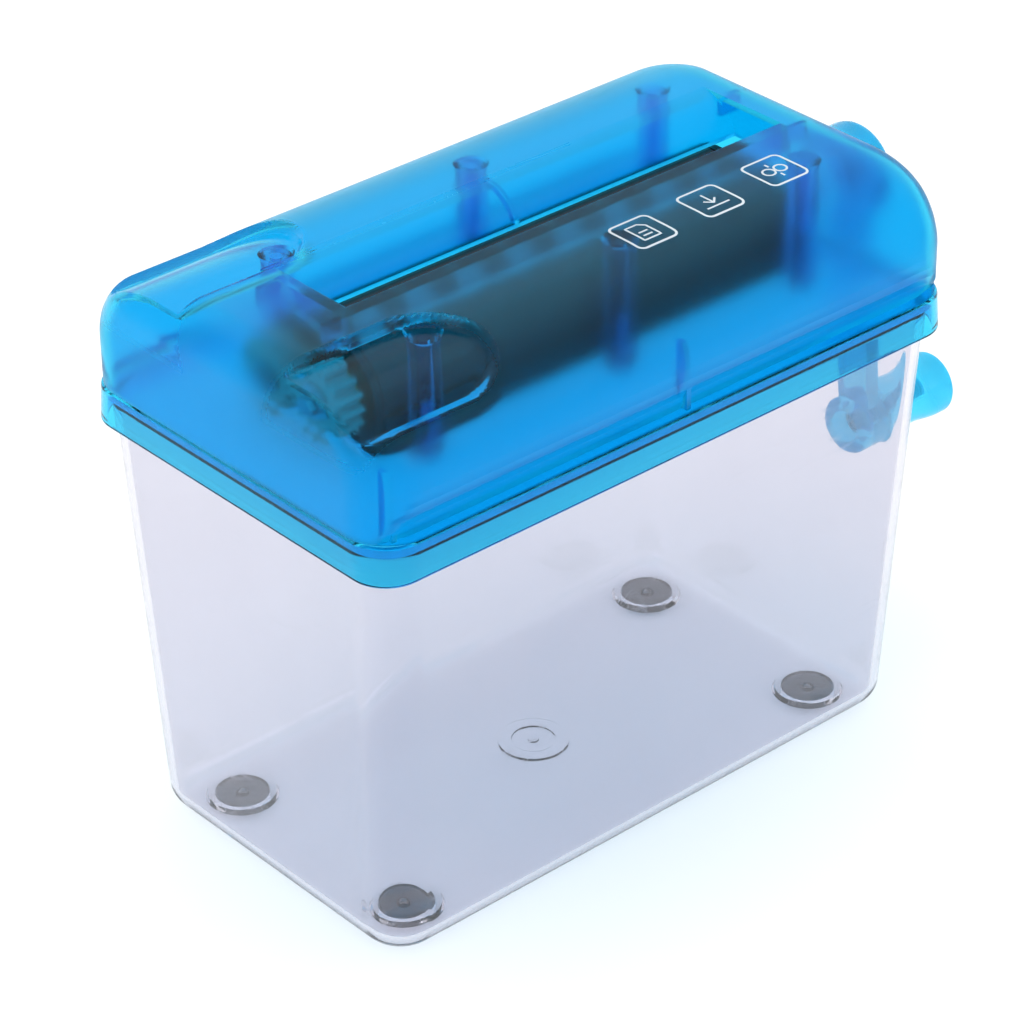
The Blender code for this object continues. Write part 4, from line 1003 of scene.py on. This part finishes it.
pin_steel = solid("turned_steel_pin", (0.42, 0.43, 0.45), (0.62, 0.63, 0.65), (0.2, 0.36),
                  1.0, "rings", 0.004, 1300.0, (AXLE[0], GRIP_Z))
for piece in bpy.data.objects:
    if piece.name.startswith("rubber_foot"):
        piece.data.materials.append(rubber)
for piece in sign_pieces:
    piece.data.materials.append(ink)

# %% [markdown]
# The measured parts that stay are given their finish by name. Their meshes
# are not touched: only the material in each part's slot changes.
# %% Dress the measured parts
def finish_for(name):
    """The finish of a measured part, from its name."""
    table = (("comb", guard_black), ("gear", nylon), ("bush", bronze),
             ("plate", black_steel), ("cover_screw", plate_steel), ("knob_pin", pin_steel),
             ("driven", rear_steel), ("clip", plate_steel))
    for word, stuff in table:
        if word in name:
            return stuff
    return front_steel


for name, part in nodes.items():
    if part.material_slots:
        part.material_slots[0].material = finish_for(name)
    else:
        part.data.materials.append(finish_for(name))
print("dressed", len(nodes), "measured parts")

# %% [markdown]
# ## Floor, light and camera
# The set is a pale table in an evenly bright room, with one large soft lamp
# above and a weaker lamp on each side for the soft highlights on the round
# edges. The camera looks down at the front left corner through a long lens,
# so the upright edges stay nearly parallel.
# %% The floor
def make_floor():
    """A wide flat sheet just under the feet, with a faint matt grain."""
    mesh = bpy.data.meshes.new("table")
    corners = np.array([(-4.0, -4.0, 0.0), (4.0, -4.0, 0.0), (4.0, 4.0, 0.0), (-4.0, 4.0, 0.0)])
    mesh.from_pydata(corners.tolist(), [], [(0, 1, 2, 3)])
    table = bpy.data.objects.new("table", mesh)
    bpy.context.scene.collection.objects.link(table)
    paper, tree, shader = start_material("pale_paper_sweep")
    grain = use(tree, "flow", Size=3.0)
    tone = blend(tree, grain.outputs[0], (0.90, 0.90, 0.90), (0.915, 0.915, 0.915))
    tree.links.new(tone, shader.inputs["Base Color"])
    shader.inputs["Roughness"].default_value = 0.9
    shader.inputs["Specular IOR Level"].default_value = 0.0
    mesh.materials.append(paper)
    return table


make_floor()

# %% Lamps and the room's own light
def soft_lamp(name, place, aim, size, power):
    """A square lamp at a place in metres, turned to face its aim."""
    light = bpy.data.lights.new(name, "AREA")
    light.shape, light.size, light.energy = "SQUARE", size, power
    lamp = bpy.data.objects.new(name, light)
    bpy.context.scene.collection.objects.link(lamp)
    lamp.location = place
    lamp.rotation_euler = (Vector(aim) - Vector(place)).to_track_quat("-Z", "Y").to_euler()
    return lamp


soft_lamp("roof_lamp", (0.1, 0.3, 1.9), (0.0, 0.0, 0.0), 2.4, 15.0)
soft_lamp("left_lamp", (-1.2, -0.2, 0.7), (0.0, 0.0, 0.08), 0.7, 3.0)
soft_lamp("front_lamp", (0.5, -1.4, 0.8), (0.0, 0.0, 0.08), 0.8, 3.0)
room = bpy.data.worlds.new("room")
room.use_nodes = True
background = room.node_tree.nodes["Background"]
background.inputs["Color"].default_value = (1.0, 1.0, 1.0, 1.0)
background.inputs["Strength"].default_value = 1.0
bpy.context.scene.world = room
bpy.context.scene.view_settings.view_transform = "Standard"

# %% The camera
def place_camera(place, target, roll_degrees, lens):
    """A camera at a place, aimed at a target and rolled about its view."""
    back = (Vector(place) - Vector(target)).normalized()
    right = Vector((0.0, 0.0, 1.0)).cross(back).normalized()
    up = back.cross(right)
    roll = math.radians(roll_degrees)
    side = right * math.cos(roll) + up * math.sin(roll)
    top = up * math.cos(roll) - right * math.sin(roll)
    data = bpy.data.cameras.new("camera")
    data.lens, data.sensor_width, data.clip_start = lens, 36.0, 0.01
    view = bpy.data.objects.new("camera", data)
    bpy.context.scene.collection.objects.link(view)
    view.matrix_world = Matrix.Translation(Vector(place)) @ Matrix((side, top, back)).transposed().to_4x4()
    return view


CAMERA_PLACE, CAMERA_TARGET = (-0.5303, -0.5783, 0.5445), (0.0115, 0.0427, 0.0333)
bpy.context.scene.camera = place_camera(CAMERA_PLACE, CAMERA_TARGET, -0.71, 139.2)
